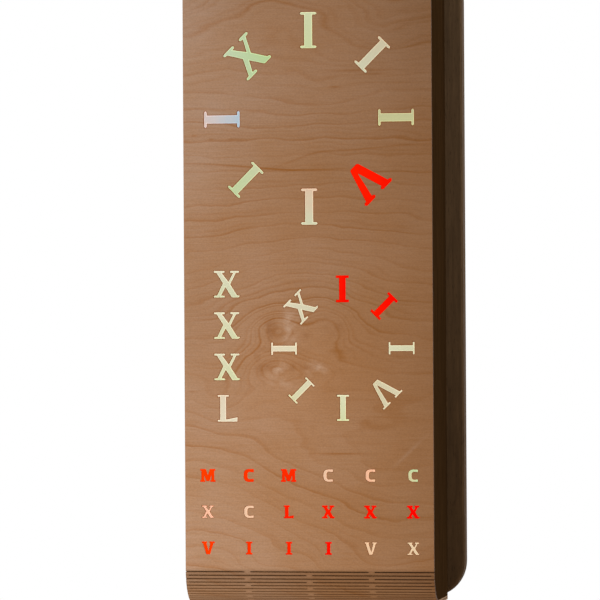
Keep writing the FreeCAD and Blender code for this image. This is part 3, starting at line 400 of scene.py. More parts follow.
def unrolled(graph, y, z):
    """The way down and out from a bend's middle, and the height as if both bends lay flat."""
    over = graph.minus(graph.size(z), FLAT_END)
    down = graph.at_least(over, 0.0)
    ahead = graph.minus(FRONT_Y + BEND_RADIUS, y)
    out = graph.at_least(ahead, 0.0)
    back = graph.at_least(graph.times(ahead, -1.0), 0.0)
    back = graph.times(back, graph.above(over, 0.0))
    arc = graph.times(graph.math("ARCTAN2", down, out), BEND_RADIUS)
    flat = graph.math("MINIMUM", graph.size(z), FLAT_END)
    return down, out, graph.times(graph.plus(flat, arc, back), graph.math("SIGN", z))


def veneer_level(graph, x, z):
    """Counts the growth lines downwards, in millimetres of plain wood."""
    push = graph.plus(graph.swells(x, z, LINE_SWELLS),
                      graph.times(graph.span(x, *FALL_SIDES, 0.0, 1.0, True),
                                  graph.span(z, *FALL_HEIGHTS, LINE_FALL, 0.0, True)))
    place = graph.point(x, 0.0, z)
    for lumps, roughness, amount in LINE_WAVES:
        push = graph.plus_times(push, graph.noise(lumps, 1.0, roughness, place=place), amount)
    return graph.minus(graph.plus_times(LINE_START, z, -1000.0), push)


def growth_lines(graph, level, spacing, seed, width, least):
    """Thin lines of uneven strength, each with a soft shade above it."""
    count = graph.plus_times(seed, level, 1.0 / spacing)
    strength = graph.span(graph.dice(count), 0.1, 1.0, least, 1.0)
    # Both set in within the width; the line fades over twice that, the shade up to the next.
    saw = graph.minus(1.0, graph.math("FRACT", count))
    start = graph.span(saw, 0.0, width, 0.0, 1.0, True)
    line = graph.times(start, graph.span(saw, width, 3.0 * width, 0.8, 0.0, True))
    shade = graph.times(start, graph.span(saw, width, 0.95, 0.55, 0.0))
    return graph.times(graph.plus(line, shade), strength)


def streak(graph, x, z, height, climbs):
    """A dark line across the sheet that climbs between the two ends of each step."""
    for start, end, rise in climbs:
        height = graph.plus(height, graph.span(x, start, end, 0.0, rise, True))
    return graph.bell(graph.times(graph.minus(z, height), 1000.0), 0.0, STREAK_REACH)


def veneer_tone(graph, x, z, place):
    """How dark the growth lines, the two streaks and the flecks make the veneer."""
    level = veneer_level(graph, x, z)
    crowd = LEAST_CROWD
    for count, reach, weight in CROWDED_COUNTS:
        crowd = graph.plus_times(crowd, graph.bell(level, count, reach), weight)
    crowd = graph.math("MINIMUM", graph.swells(x, z, CROWDED_KNOT, crowd), 1.0)
    strong = graph.times(growth_lines(graph, level, *STRONG_LINES), STRONG_TONE)
    fine = graph.times(growth_lines(graph, level, *FINE_LINES), crowd, FINE_TONE)
    # In patches the lines are faint.
    patch = graph.noise((14.0, 1.0, 26.0), 1.0, place=place)
    tone = graph.times(graph.plus(strong, fine), graph.span(patch, 0.34, 0.62, 0.4, 1.0, True))
    gain = graph.times(graph.bell(x, UPPER_MIDDLE, UPPER_LENGTH), UPPER_GAIN)
    upper = graph.times(streak(graph, x, z, *UPPER_STREAK), graph.plus(UPPER_LEAST, gain))
    lower = graph.times(streak(graph, x, z, *LOWER_STREAK),
                        graph.span(x, *LOWER_SETS_IN, 0.0, LOWER_STRENGTH))
    tone = graph.plus(tone, graph.plus(upper, lower))
    tone = graph.times(tone, graph.span(z, *TOP_FADING, True),
                       graph.swells(x, z, DARKER_KNOT, 1.0))
    return graph.plus(tone, graph.times(graph.swells(x, z, FLECKS), FLECK_TONE))


def veneer_colour(graph, x, z, place, fibre, cloud, grit):
    """The face of the sheet, without what sawing and laser do to it."""
    # Painted light: the veneer darkens from left to right and changes with the height as the
    # lamp's light falls.
    shade = graph.times(graph.spread(grit, *GRIT_TONES), across(graph, x, *PAINTED_SIDE_LIGHT),
                        graph.span(z, *PAINTED_HEIGHT_LIGHT, True),
                        graph.swells(x, z, BROAD_TONES, 1.0))
    # The veneer is greyer to the left and towards both ends, and warmer elsewhere.
    grey = graph.plus(across(graph, x, *SIDE_GREYS), graph.span(z, *UPPER_GREYS, True),
                      graph.span(z, *LOWER_GREYS), graph.spread(cloud, *CLOUD_GREYS))
    wood = graph.mix(grey, WARM_WOOD, GREY_WOOD)
    for source, reach in ((fibre, 0.25), (cloud, 0.2)):
        share = graph.spread(source, reach=reach)
        wood = graph.tinted(wood, graph.mix(share, DARK_FIBRE, PALE_FIBRE))
    smudge = graph.noise((90.0, 1.0, 110.0), place=place)
    milky = graph.times(graph.swells(x, z, MILKY), graph.spread(smudge, reach=0.15))
    off_line = graph.minus(z, graph.plus_times(PALE_HEIGHT, x, PALE_SLOPE))
    pale = graph.times(graph.bell(off_line, 0.0, PALE_REACH),
                       graph.bell(x, PALE_MIDDLE, PALE_LENGTH))
    milky = graph.plus_times(milky, pale, PALE_STRENGTH)
    dusky = graph.times(graph.swells(x, z, DUSKY), graph.span(smudge, 0.6, 0.35))
    wood = graph.mix(graph.times(milky, PATCH_STRENGTH), wood, MILKY_WOOD)
    wood = graph.mix(graph.times(dusky, PATCH_STRENGTH), wood, DUSKY_WOOD)
    # Lines fade where the wood is milky.
    clear = graph.plus_times(1.0, milky, -PATCH_STRENGTH)
    tone = graph.times(veneer_tone(graph, x, z, place), clear)
    return graph.scaled(graph.mix(tone, wood, LINE_WOOD), shade)


def sheet_layers(graph, down, out, fibre):
    """The way from a bend's middle, and the plies on the sheet's edge by depth below its face."""
    reach = graph.math("SQRT", graph.plus(graph.times(down, down), graph.times(out, out)))
    wobble = graph.spread(graph.noise((400.0, 90.0, 90.0)), -PLY_WOBBLE, PLY_WOBBLE)
    depth = graph.plus(graph.minus(BEND_RADIUS, reach), wobble)
    off_middle = graph.size(graph.minus(depth, SHEET_THICKNESS / 2))
    layers = graph.mix(graph.above(off_middle, HALF_PLY), MIDDLE_PLY, OUTER_PLY)
    return reach, graph.scaled(layers, graph.spread(fibre, 0.85, 1.1, 0.3))


def sheet_parts(graph, x, y, z, down, out, reach):
    """The sheet's edge, its bends, and the walls of its letters and slits: one on each."""
    normal_x, normal_y, normal_z = graph.facing()
    on_edge = graph.times(graph.above(graph.size(normal_x), EDGE_TURN),
                          graph.above(graph.size(x), HALF_WIDTH - EDGE_SLACK))
    letter_wall = graph.times(graph.below(graph.size(normal_y), LETTER_TURN),
                              graph.below(graph.size(z), FLAT_END),
                              graph.below(y, FRONT_Y + SHEET_THICKNESS + HAIR))
    bend_part = graph.times(graph.above(down, HAIR), graph.above(out, HAIR))
    # How far a bend's surface faces away from the bend's middle.
    outward = graph.minus(graph.times(graph.times(normal_z, graph.math("SIGN", z)), down),
                          graph.times(normal_y, out))
    radial = graph.math("DIVIDE", outward, graph.at_least(reach, LEAST_REACH))
    slit_wall = graph.times(bend_part, graph.below(graph.size(radial), SLIT_TURN))
    return on_edge, bend_part, letter_wall, slit_wall


def scorch(graph, x, down, out):
    """How brown the laser made a bend's outside: most beside the slits, not at the bridges."""
    count = graph.times(graph.math("ARCTAN2", down, out), HINGE_ROWS * 2 / math.pi)
    off_row = graph.minus(graph.math("FRACT", count), 0.5)
    odd = graph.times(graph.math("FRACT", graph.times(graph.math("FLOOR", count), 0.5)), 2.0)
    # Rows counted as odd have their bridge in the middle, the others one halfway to each side.
    bridge = graph.times(graph.minus(1.0, odd), HALF_WIDTH / 2)
    off_bridge = graph.minus(graph.size(x), bridge)
    cut = graph.minus(1.0, graph.bell(off_bridge, 0.0, HALF_BRIDGE))
    return graph.times(graph.bell(off_row, 0.0, SCORCH_REACH), cut)


def birch_sheet(name):
    """Birch plywood with a pinkish veneer, layers at its sides and scorched cut edges."""
    graph = Graph(name)
    x, y, z = graph.axes()
    down, out, height = unrolled(graph, y, z)
    place = graph.point(x, y, height)
    fibre = graph.noise((45.0, 200.0, 1300.0), 2.0, 0.6, place=place)
    cloud = graph.noise((9.0, 5.0, 14.0), 3.0, 0.55, place=place)
    grit = graph.noise((700.0, 700.0, 1000.0), 1.0, place=place)
    streaky = graph.noise((30.0, 1.0, 900.0), 2.0, 0.6, place=place)
    wood = veneer_colour(graph, x, height, place, fibre, cloud, grit)
    reach, layers = sheet_layers(graph, down, out, fibre)
    on_edge, bend_part, letter_wall, slit_wall = sheet_parts(graph, x, y, z, down, out, reach)
    # Painted shade: the slits' walls darken from left to right over their char.
    char = graph.mix(bend_part, LETTER_CHAR, graph.mix(across(graph, x, 0.0, 1.0), *SLIT_CHAR_AND_SHADE))
    burnt = graph.times(graph.at_least(letter_wall, slit_wall), CHAR_SHARE)
    colour = graph.mix(burnt, graph.mix(on_edge, wood, layers), char)
    # Smoke of the laser greys the bends, and scorch browns them beside the slits.
    rise = graph.size(z)
    face = graph.minus(1.0, graph.at_least(on_edge, slit_wall))
    sets_in = [HALF_HEIGHT - distance for distance in SMOKE_SETS_IN]
    dwindles = [HALF_HEIGHT - distance for distance in SMOKE_DWINDLES]
    smoke = graph.times(graph.span(rise, *sets_in, 0.0, 1.0, True),
                        graph.span(rise, *dwindles, 1.0, SMOKE_LEFT),
                        graph.spread(streaky, 0.6, 1.0), face)
    colour = graph.tinted(colour, SMOKE_TINT, smoke)
    brown = graph.times(bend_part, scorch(graph, x, down, out),
                        graph.spread(streaky, 1.0, 0.7, 0.15), face)
    colour = graph.tinted(colour, SCORCH_TINT, brown)
    graph.surface(colour, graph.spread(cloud, 0.56, 0.70), 0.12)
    graph.bump(graph.plus(graph.times(fibre, 0.7), graph.times(grit, 0.3)), 0.00012, 0.35)
    return graph.material


def stained_wood(name, dark, light, shine, upper=None):
    """Dark stained panel with fine grain along its length; where upper is given, painted light
    makes its upper part lighter and bluer.
    """
    graph = Graph(name)
    grain = graph.noise((420.0, 420.0, 24.0), 3.0, 0.6, 0.4)
    broad = graph.noise((30.0, 30.0, 5.0))
    pores = graph.noise((1500.0, 1500.0, 130.0), 1.0)
    colour = graph.mix(graph.span(grain, 0.3, 0.72), dark, light)
    # Painted light: the upper part is made lighter and bluer.
    if upper is not None:
        colour = graph.tinted(colour, upper, graph.span(graph.axes()[2], -0.25, 0.2))
    colour = graph.scaled(colour, graph.spread(broad, 0.93, 1.07))
    colour = graph.mix(graph.span(pores, 0.62, 0.72, 0.0, 0.5), colour, PORE_BLACK)
    graph.surface(colour, graph.spread(grain, 0.62, 0.8), shine)
    graph.bump(graph.minus(grain, graph.span(pores, 0.6, 0.75, 0.0, 0.6)), 0.00015)
    return graph.material


def plain_wood(name, dark, light, lumps):
    """Unfinished inner timber."""
    graph = Graph(name)
    grain = graph.noise(lumps, 3.0, 0.6, 0.3)
    graph.surface(graph.mix(graph.spread(grain), dark, light), graph.spread(grain, 0.6, 0.75))
    graph.bump(grain, 0.0001)
    return graph.material


def plastic(name, colour, roughness):
    """Moulded plastic or lacquer with a fine texture."""
    graph = Graph(name)
    speck = graph.noise(1400.0, 2.0, 0.6)
    wear = graph.noise(90.0, 3.0, 0.6)
    graph.surface(graph.scaled(colour, graph.spread(wear, 0.88, 1.12)),
                  graph.spread(wear, roughness - 0.06, roughness + 0.1))
    graph.bump(speck, 0.00004, 0.5)
    return graph.material


def metal(name, colour, roughness):
    """Plated steel with faint brushing and dull patches."""
    graph = Graph(name)
    brush = graph.noise((3000.0, 300.0, 300.0), 2.0, 0.6)
    patch = graph.noise(160.0, 3.0, 0.6)
    graph.surface(graph.scaled(colour, graph.spread(patch, 0.86, 1.08)),
                  graph.spread(patch, roughness, roughness + 0.18))
    graph.set("Metallic", 1.0)
    graph.bump(brush, 0.00003)
    return graph.material


def scorched(name):
    """Brown edge that the laser leaves round a cut-out."""
    graph = Graph(name)
    smoke = graph.noise(500.0)
    graph.surface(graph.mix(graph.spread(smoke), linear(150, 74, 20), linear(192, 104, 36)),
                  graph.spread(smoke, 0.7, 0.9), 0.1)
    graph.bump(smoke, 0.00003)
    return graph.material


def along(graph, box, axis):
    """How far a point is from a box's low end towards its high end, on one axis."""
    low, high = box
    k = "xyz".index(axis)
    return graph.span(graph.axes()[k], low[k], high[k])


def opal(name, tints_and_glow, box, axis, level):
    """Frosted insert with painted glow, its colour running along an axis from the first tint to
    the last.
    """
    graph = Graph(name)
    haze = graph.noise(120.0)
    frost = graph.noise(2600.0, 2.0, 0.6)
    # Painted light: the colour runs along the axis as the glow of the lamps behind does.
    share = graph.plus(along(graph, box, axis), graph.spread(haze, -0.12, 0.12))
    steps = len(tints_and_glow) - 1
    colour = tints_and_glow[0]
    for k in range(steps):
        part = share if steps == 1 else graph.span(share, k / steps, (k + 1) / steps)
        colour = graph.mix(part, colour, tints_and_glow[k + 1])
    colour = graph.scaled(colour, graph.spread(frost, 0.97 * level, 1.03 * level))
    graph.surface(colour, graph.spread(haze, 0.42, 0.55), 0.3)
    graph.bump(frost, 0.00003)
    return graph.material


def lit(name, left, right, box):
    """An insert lit from behind: a flat light of its own with faint clouds in it."""
    graph = Graph(name)
    colour = graph.mix(along(graph, box, "x"), left, right)
    haze = graph.noise(150.0)
    graph.surface(graph.scaled(colour, 0.05), 0.6, 0.0)
    graph.set("Emission Color", graph.scaled(colour, graph.spread(haze, 0.93, 1.04)))
    graph.set("Emission Strength", 1.0)
    return graph.material


# Woods, boards and small hardware that keep their CAD shape.
paint(birch_sheet("birch_sheet"), "front_shell")
# The cheeks' dark stain is also painted shade: the case's unlit sides are made dark in their
# colour.
paint(stained_wood("cheek_stain_and_shade", linear(64, 43, 22), linear(84, 58, 33), 0.0),
      "left_cheek", "right_cheek")
paint(stained_wood("housing_stain", linear(86, 62, 38), linear(108, 79, 50), 0.08,
                   HOUSING_TOP_LIGHT), "rear_housing")
paint(plain_wood("inner_wood", linear(150, 116, 80), linear(196, 160, 118), (300, 300, 20)),
      "front_battens", "rear_battens", "end_cleats", "led_carrier")
paint(plastic("cell_board", linear(226, 224, 216), 0.6),
      "hour_light_box", "minute_light_box", "tens_light_box", "calendar_light_box")
paint(plastic("circuit_board", linear(28, 74, 48), 0.35),
      "hour_led_board", "minute_led_board", "tens_led_board", "calendar_led_board",
      "control_board")
paint(plastic("lamp_package", linear(238, 232, 205), 0.4), "led_packages")
black_plastic = plastic("black_plastic", linear(26, 26, 27), 0.42)
paint(black_plastic, "control_chip", "backup_cell_holder", "push_switches", "dc_inlet",
      "setting_button_1", "setting_button_2", "setting_button_3")
zinc = metal("zinc_steel", linear(176, 178, 182), 0.3)
paint(zinc, "keyhole_plates", "case_screws", "hanger_screws", "board_screws", "carrier_screws",
      "backup_cell")
contact_metal = metal("contact_metal", linear(205, 190, 150), 0.2)
paint(contact_metal, "dc_inlet_pin")
paint(plastic("cable_jacket", linear(132, 134, 138), 0.5), "ribbon_cable")

# Tints of the unlit numerals, clockwise from the top, and the axis that they run along: cream
# with the dim glow of the lamps behind painted in, as painted light. A lit numeral has none.
HOUR_TINT_AND_GLOW = (
    ((202, 212, 162), (208, 214, 172), "z"),
    ((206, 206, 176), (206, 192, 160), "z"),
    ((200, 200, 146), (190, 188, 142), "z"),
    None,
    ((206, 206, 174), (218, 190, 162), "z"),
    ((184, 202, 152), (198, 202, 162), "x"),
    ((212, 192, 184), (170, 192, 206), "x"),
    ((192, 208, 172), (180, 206, 148), "x"),
)
MINUTE_TINT_AND_GLOW = (
    None,
    None,
    ((214, 212, 178), (208, 206, 170), "x"),
    ((206, 196, 160), (212, 204, 172), "x"),
    ((206, 210, 162), (214, 214, 178), "z"),
    ((206, 204, 160), (214, 206, 176), "x"),
    ((220, 206, 178), (216, 208, 176), "x"),
    ((214, 206, 178), (206, 200, 170), "x"),
)
# Tints of the column and of the unlit numerals in the calendar's rows, from the top down, with
# the lamps' dim glow painted in.
TENS_TINT_AND_GLOW = (
    ((200, 204, 166), (212, 208, 180), "z"),
    ((202, 204, 162), (212, 208, 178), "z"),
    ((202, 206, 162), (210, 206, 176), "z"),
    ((216, 206, 180), (214, 198, 172), "z"),
)
CALENDAR_TINT_AND_GLOW = (
    ((228, 190, 158), (238, 182, 146), (190, 212, 160), "x"),
    ((237, 180, 149), (229, 190, 157), "x"),
    ((233, 194, 155), (223, 200, 163), "x"),
)
# Lit inserts: node, material, tints of their light at the left and at the right.
LIT_TINTS = (
    ("hour_numeral_4", "hour_lit", (254, 28, 0), (252, 18, 0)),
    ("minute_numeral_1", "minute_numeral_1", (252, 24, 0), (250, 4, 0)),
    ("minute_numeral_2", "minute_numeral_2", (252, 24, 0), (250, 4, 0)),
    ("calendar_row_1_lit", "calendar_row_1_lit", (254, 62, 0), (254, 40, 0)),
    ("calendar_row_2_lit", "calendar_row_2_lit", (254, 32, 0), (252, 2, 0)),
    ("calendar_row_3_lit", "calendar_row_3_lit", (254, 62, 0), (254, 12, 0)),
)
# Widths from the cut-out's wall inwards, in metres: of the scorched rim, and of the rim and the
# painted highlight along the edge together.
HOUR_EDGE = (0.00035, 0.0010)
MINUTE_EDGE = (0.00032, 0.0009)
CALENDAR_EDGE = (0.00025, 0.00055)
# Brightness of an insert's face, whose glow is painted light, and of the painted highlight along
# its edge.
FACE_GLOW_LEVEL = 1.16
HIGHLIGHT_LEVEL = 1.42

# Where the inserts' faces are, and how far off a face's points may be, in metres.
FACE_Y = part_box("hour_numeral_1")[0].y
FACE_SLACK = 0.00002
# Steps of an insert's edge that belong to the rim, and the bluntest mitre of its corners.
RIM_STEPS = 3
LEAST_MITRE = 0.2


def placed(name, data):
    """A new object in the scene."""
    item = bpy.data.objects.new(name, data)
    bpy.context.scene.collection.objects.link(item)
    return item


def face_outlines(label):
    """The outlines of an insert node's front faces, counter-clockwise, as lists of (x, z)."""
    mesh = nodes[label].data
    edges = {}
    spots = {}
    for polygon in mesh.polygons:
        points = [mesh.vertices[k].co for k in polygon.vertices]
        if max(abs(point.y - FACE_Y) for point in points) > FACE_SLACK:
            continue
        # Points are matched to the micrometre, and edges keep the mesh's order.
        keys = [(round(point.x * 1e6), round(point.z * 1e6)) for point in points]
        for key, point in zip(keys, points):
            spots[key] = (point.x, point.z)
        for k, key in enumerate(keys):
            edges[key, keys[(k + 1) % len(keys)]] = True
    # An edge that no other face runs back along is on the outline.
    following = {start: end for start, end in edges if (end, start) not in edges}
    outlines = []
    while following:
        start, here = following.popitem()
        loop = [spots[start]]
        while here in following:
            loop.append(spots[here])
            here = following.pop(here)
        area = sum(loop[k - 1][0] * loop[k][1] - loop[k][0] * loop[k - 1][1]
                   for k in range(len(loop)))
        outlines.append(loop if area > 0 else loop[::-1])
    return outlines


def drawn_in(loop, amount):
    """The outline moved inwards by the amount, its corners kept sharp."""
    moved = []
    count = len(loop)
    for k in range(count):
        here = Vector(loop[k])
        back = (here - Vector(loop[k - 1])).normalized()
        ahead = (Vector(loop[(k + 1) % count]) - here).normalized()
        first = Vector((-back.y, back.x))
        second = Vector((-ahead.y, ahead.x))
        reach = 1.0 + first.dot(second)
        moved.append(here + (first + second) * (amount / max(reach, LEAST_MITRE)))
    return moved


def insert_edges(label, edge, materials):
    """The scorched rim round each face of an insert, and within it a thick painted highlight, a
    lighter copy of the face.
    """
    rim, band = edge
    # Distance inwards and height above the face, in metres.
    levels = ((0.0, 0.0), (0.00003, 0.00026), (rim - 0.00008, 0.00022), (rim, 0.00012),
              (rim + 0.00005, 0.00010), (band, 0.00006), (band + 0.00006, 0.0))
    shell = bmesh.new()
    for loop in face_outlines(label):
        rings = []
        for amount, height in levels:
            rings.append([shell.verts.new((spot[0], FACE_Y - height, spot[1]))
                          for spot in drawn_in(loop, amount)])
        count = len(loop)
        for k, (low, high) in enumerate(zip(rings, rings[1:])):
            for j in range(count):
                corners = (low[j], low[(j + 1) % count], high[(j + 1) % count], high[j])
                face = shell.faces.new(corners)
                face.material_index = 0 if k < RIM_STEPS else 1
    mesh = bpy.data.meshes.new(label + "_edges")
    shell.to_mesh(mesh)
    shell.free()
    for material in materials:
        mesh.materials.append(material)
    piece = placed(label + "_edges", mesh)
    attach(piece, "case")


scorched_rim = scorched("scorched_rim")


def dress_insert(label, row, edge):
    """An unlit insert: its frosted face with painted glow, the painted highlight along its edge
    and its scorched rim.
    """
    *tints_and_glow, axis = row
    tints_and_glow = [linear(*tint) for tint in tints_and_glow]
    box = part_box(label)
    paint(opal(label, tints_and_glow, box, axis, FACE_GLOW_LEVEL), label)
    # Painted highlight: a lighter copy of the face's material along the edge.
    edge_highlight = opal(label + "_bright", tints_and_glow, box, axis, HIGHLIGHT_LEVEL)
    insert_edges(label, edge, (scorched_rim, edge_highlight))


for pattern, rows, edge in (("hour_numeral_%d", HOUR_TINT_AND_GLOW, HOUR_EDGE),
                            ("minute_numeral_%d", MINUTE_TINT_AND_GLOW, MINUTE_EDGE),
                            ("tens_numeral_%d", TENS_TINT_AND_GLOW, MINUTE_EDGE),
                            ("calendar_row_%d_unlit", CALENDAR_TINT_AND_GLOW, CALENDAR_EDGE)):
    for number, row in enumerate(rows, 1):
        if row is not None:
            dress_insert(pattern % number, row, edge)
for label, name, left, right in LIT_TINTS:
    paint(lit(name, linear(*left), linear(*right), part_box(label)), label)


def turned(shell, profile, place, sides):
    """A turned surface from (radius, height) pairs; place sets a point's whereabouts."""
    rings = []
    for radius, height in profile:
        count = sides if radius > 0.0 else 1
        rings.append([shell.verts.new(place(radius * math.cos(math.tau * k / sides),
                                            radius * math.sin(math.tau * k / sides), height))
                      for k in range(count)])
    for low, high in zip(rings, rings[1:]):
        for k in range(sides):
            corners = []
            for vertex in (low[k % len(low)], low[(k + 1) % len(low)],
                           high[(k + 1) % len(high)], high[k % len(high)]):
                if vertex not in corners:
                    corners.append(vertex)
            shell.faces.new(corners)
    return rings


def closed_loop(shell, spots, place, height):
    """The points of an outline at one height."""
    return [shell.verts.new(place(a, b, height)) for a, b in spots]


def walls(shell, low, high):
    """The band between two outlines of as many points."""
    for k in range(len(low)):
        shell.faces.new((low[k - 1], low[k], high[k], high[k - 1]))


def fill_between(shell, outer, inner):
    """The flat face between two closed outlines."""
    edges = []
    for loop in (outer, inner):
        for k in range(len(loop)):
            edge = shell.edges.get((loop[k - 1], loop[k]))
            edges.append(edge or shell.edges.new((loop[k - 1], loop[k])))
    bmesh.ops.triangle_fill(shell, use_beauty=True, edges=edges)


def finished(shell, name, body, slot, material, *replaced):
    """Make the piece, round its smooth parts and have it ride on its body."""
    bmesh.ops.recalc_face_normals(shell, faces=shell.faces)
    mesh = bpy.data.meshes.new(name)
    shell.to_mesh(mesh)
    shell.free()
    mesh.materials.append(material)
    for polygon in mesh.polygons:
        polygon.use_smooth = True
    mesh.set_sharp_from_angle(angle=math.radians(SHARP_ANGLE))
    piece = placed(name, mesh)
    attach(piece, body)
    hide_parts(*replaced)


# Edges that turn by more degrees than this are sharp, and round pieces have so many sides.
SHARP_ANGLE = 32
HEAD_SIDES = 32
THREAD_SIDES = 14
CAP_SIDES = 40
PIN_SIDES = 24

# A pan head's outline, as shares of its radius and its thickness.
HEAD_PROFILE = ((0.97, 0.0), (1.0, 0.06), (1.0, 0.25), (0.97, 0.55), (0.88, 0.8), (0.74, 0.95),
                (0.62, 1.0))
CROSS_REACH = 0.5  # of the recess's arms, as a share of the head's radius
CROSS_ARM = 0.11  # half an arm's width, in the same way
CROSS_TAPER = 0.6  # the size of the recess's floor, as a share of its brim's
CROSS_FLOOR = 0.4  # the height of that floor, as a share of the head's thickness
THREAD_PITCH = 0.7  # from ridge to ridge, as a share of the shank's radius
THREAD_ROOT = 0.74  # the radius between ridges, in the same way
RIDGE_TOP = 0.35  # where a ridge's top and its foot are, as shares of the pitch
RIDGE_FOOT = 0.7
POINT_RADIUS = 0.6  # where the point starts, as a share of the shank's radius
POINT_LENGTH = 1.6  # of the end without ridges, in the same way

# From here to the floor, sizes are in millimetres. Screws: radius and thickness of the head,
# radius and length of the shank; then where their seats are in depth, and their places, as
# every x with every z.
CASE_SCREW = (3.6, 2.4, 1.9, 20.0)
CASE_SCREW_SEAT = -5.0
CASE_SCREW_PLACES = ((-89, 89), (-200, 200))
HANGER_SCREW = (2.4, 1.6, 1.3, 8.6)
HANGER_SCREW_SEAT = -1.6
HANGER_SCREW_PLACES = ((-60, 60), (205.9, 243.1))


def driven(centre_x, seat, centre_z):
    """Places the points of a piece that is driven in from the back."""
    return lambda a, b, height: ((centre_x + a) / 1000, (seat + height) / 1000,
                                 (centre_z + b) / 1000)


def upright(centre_x, centre_y):
    """Places the points of a piece whose axis is upright."""
    return lambda a, b, height: ((centre_x + a) / 1000, (centre_y + b) / 1000, height / 1000)


def cross_screw(shell, place, head, thick, shank, length):
    """A pan-head screw with a cross recess and a ridged shank; its head starts at height 0."""
    dome = [(shank, 0.0)] + [(head * wide, thick * tall) for wide, tall in HEAD_PROFILE]
    top = turned(shell, dome, place, HEAD_SIDES)[-1]
    reach = head * CROSS_REACH
    arm = head * CROSS_ARM
    cross = ((reach, -arm), (reach, arm), (arm, arm), (arm, reach), (-arm, reach), (-arm, arm),
             (-reach, arm), (-reach, -arm), (-arm, -arm), (-arm, -reach), (arm, -reach),
             (arm, -arm))
    brim = closed_loop(shell, cross, place, thick)
    fill_between(shell, top, brim)
    sunk = closed_loop(shell, [(a * CROSS_TAPER, b * CROSS_TAPER) for a, b in cross], place,
                       thick * CROSS_FLOOR)
    walls(shell, brim, sunk)
    shell.faces.new(sunk)
    thread = [(shank, 0.0)]
    pitch = shank * THREAD_PITCH
    root = shank * THREAD_ROOT
    depth = pitch
    while depth < length - shank * POINT_LENGTH:
        thread.extend(((root, -depth), (shank, -depth - pitch * RIDGE_TOP),
                       (root, -depth - pitch * RIDGE_FOOT)))
        depth += pitch
    thread.extend(((shank * POINT_RADIUS, -length + shank), (0.0, -length)))
    turned(shell, thread, place, THREAD_SIDES)


def screws(name, places, seat, sizes):
    """All screws of one node, driven in from the back."""
    shell = bmesh.new()
    across_places, upright_places = places
    for centre_z in upright_places:
        for centre_x in across_places:
            cross_screw(shell, driven(centre_x, seat, centre_z), *sizes)
    finished(shell, name + "_turned", "case", "zinc_steel", zinc, name)


screws("case_screws", CASE_SCREW_PLACES, CASE_SCREW_SEAT, CASE_SCREW)
screws("hanger_screws", HANGER_SCREW_PLACES, HANGER_SCREW_SEAT, HANGER_SCREW)

# Underside: three push buttons in a row, and the round inlet with its pin. Each profile is a
# list of radius and height.
BUTTON_CENTRES_X = (-32.0, -16.0, 0.0)
BUTTON_Y = -11.1
BUTTON_PROFILE = (
    (0.0, -259.62), (1.1, -259.66), (1.9, -259.78), (2.35, -259.96), (2.6, -260.0),
    (2.82, -259.92), (2.95, -259.72), (3.0, -259.4), (3.0, -250.75), (3.12, -250.5),
    (3.35, -250.4), (3.85, -250.4), (4.0, -250.25), (4.0, -249.35), (3.85, -249.2),
    (1.5, -249.2), (1.5, -246.3), (1.3, -246.1), (0.0, -246.1),
)
INLET_PLACE = upright(32.0, -8.9)
NOSE_PROFILE = (
    (4.0, -250.4), (4.0, -257.15), (3.93, -257.38), (3.75, -257.5), (3.3, -257.5),
    (3.1, -257.4), (3.0, -257.15), (3.0, -246.3), (2.8, -246.1), (0.0, -246.1),
)
PIN_PROFILE = (
    (0.0, -254.1), (0.45, -254.04), (0.8, -253.86), (0.96, -253.6), (1.0, -253.2),
    (1.0, -246.15), (0.95, -246.1), (0.0, -246.1),
)
# The inlet's block: half its size each way, and its levels as inset and height.
BLOCK_HALF_X = 5.0
BLOCK_HALF_Y = 5.5
BLOCK_LEVELS = ((0.4, -250.4), (0.0, -250.0), (0.0, -237.8), (0.4, -237.4))

for number, centre in enumerate(BUTTON_CENTRES_X, 1):
    label = "setting_button_%d" % number
    shell = bmesh.new()
    turned(shell, BUTTON_PROFILE, upright(centre, BUTTON_Y), CAP_SIDES)
    finished(shell, label + "_cap", label, "black_plastic", black_plastic, label)


def rectangle(half_x, half_y):
    """The corners of a rectangle round the axis."""
    return ((-half_x, -half_y), (half_x, -half_y), (half_x, half_y), (-half_x, half_y))


shell = bmesh.new()
nose = turned(shell, NOSE_PROFILE, INLET_PLACE, CAP_SIDES)
loops = [closed_loop(shell, rectangle(BLOCK_HALF_X - inset, BLOCK_HALF_Y - inset), INLET_PLACE,
                     height)
         for inset, height in BLOCK_LEVELS]
fill_between(shell, loops[0], nose[0])
for low, high in zip(loops, loops[1:]):
    walls(shell, low, high)
shell.faces.new(loops[-1])
finished(shell, "dc_inlet_socket", "case", "black_plastic", black_plastic, "dc_inlet")
shell = bmesh.new()
turned(shell, PIN_PROFILE, INLET_PLACE, PIN_SIDES)
finished(shell, "dc_inlet_contact", "case", "contact_metal", contact_metal, "dc_inlet_pin")

# Floor, in metres: far below the clock, which hangs on a wall.
FLOOR_Z = -2.6
FLOOR_REACH = 9.0
FLOOR_GLOW = 0.4  # to the camera it is paler by this than its light makes it
floor_mesh = bpy.data.meshes.new("floor")
floor_mesh.from_pydata([(x, y, FLOOR_Z) for x, y in rectangle(FLOOR_REACH, FLOOR_REACH)],
                       [], [(0, 1, 2, 3)])
floor = placed("floor", floor_mesh)
floor_paint = Graph("floor_paint")
floor_paint.surface(floor_paint.mix(floor_paint.noise(3.0), linear(240, 240, 240),
                                    linear(248, 248, 248)), 0.9)
floor_rays = floor_paint.tree.nodes.new("ShaderNodeLightPath")
floor_paint.set("Emission Color", linear(255, 255, 255))
floor_paint.set("Emission Strength", floor_paint.times(floor_rays.outputs["Is Camera Ray"],
                                                       FLOOR_GLOW))
floor_mesh.materials.append(floor_paint.material)

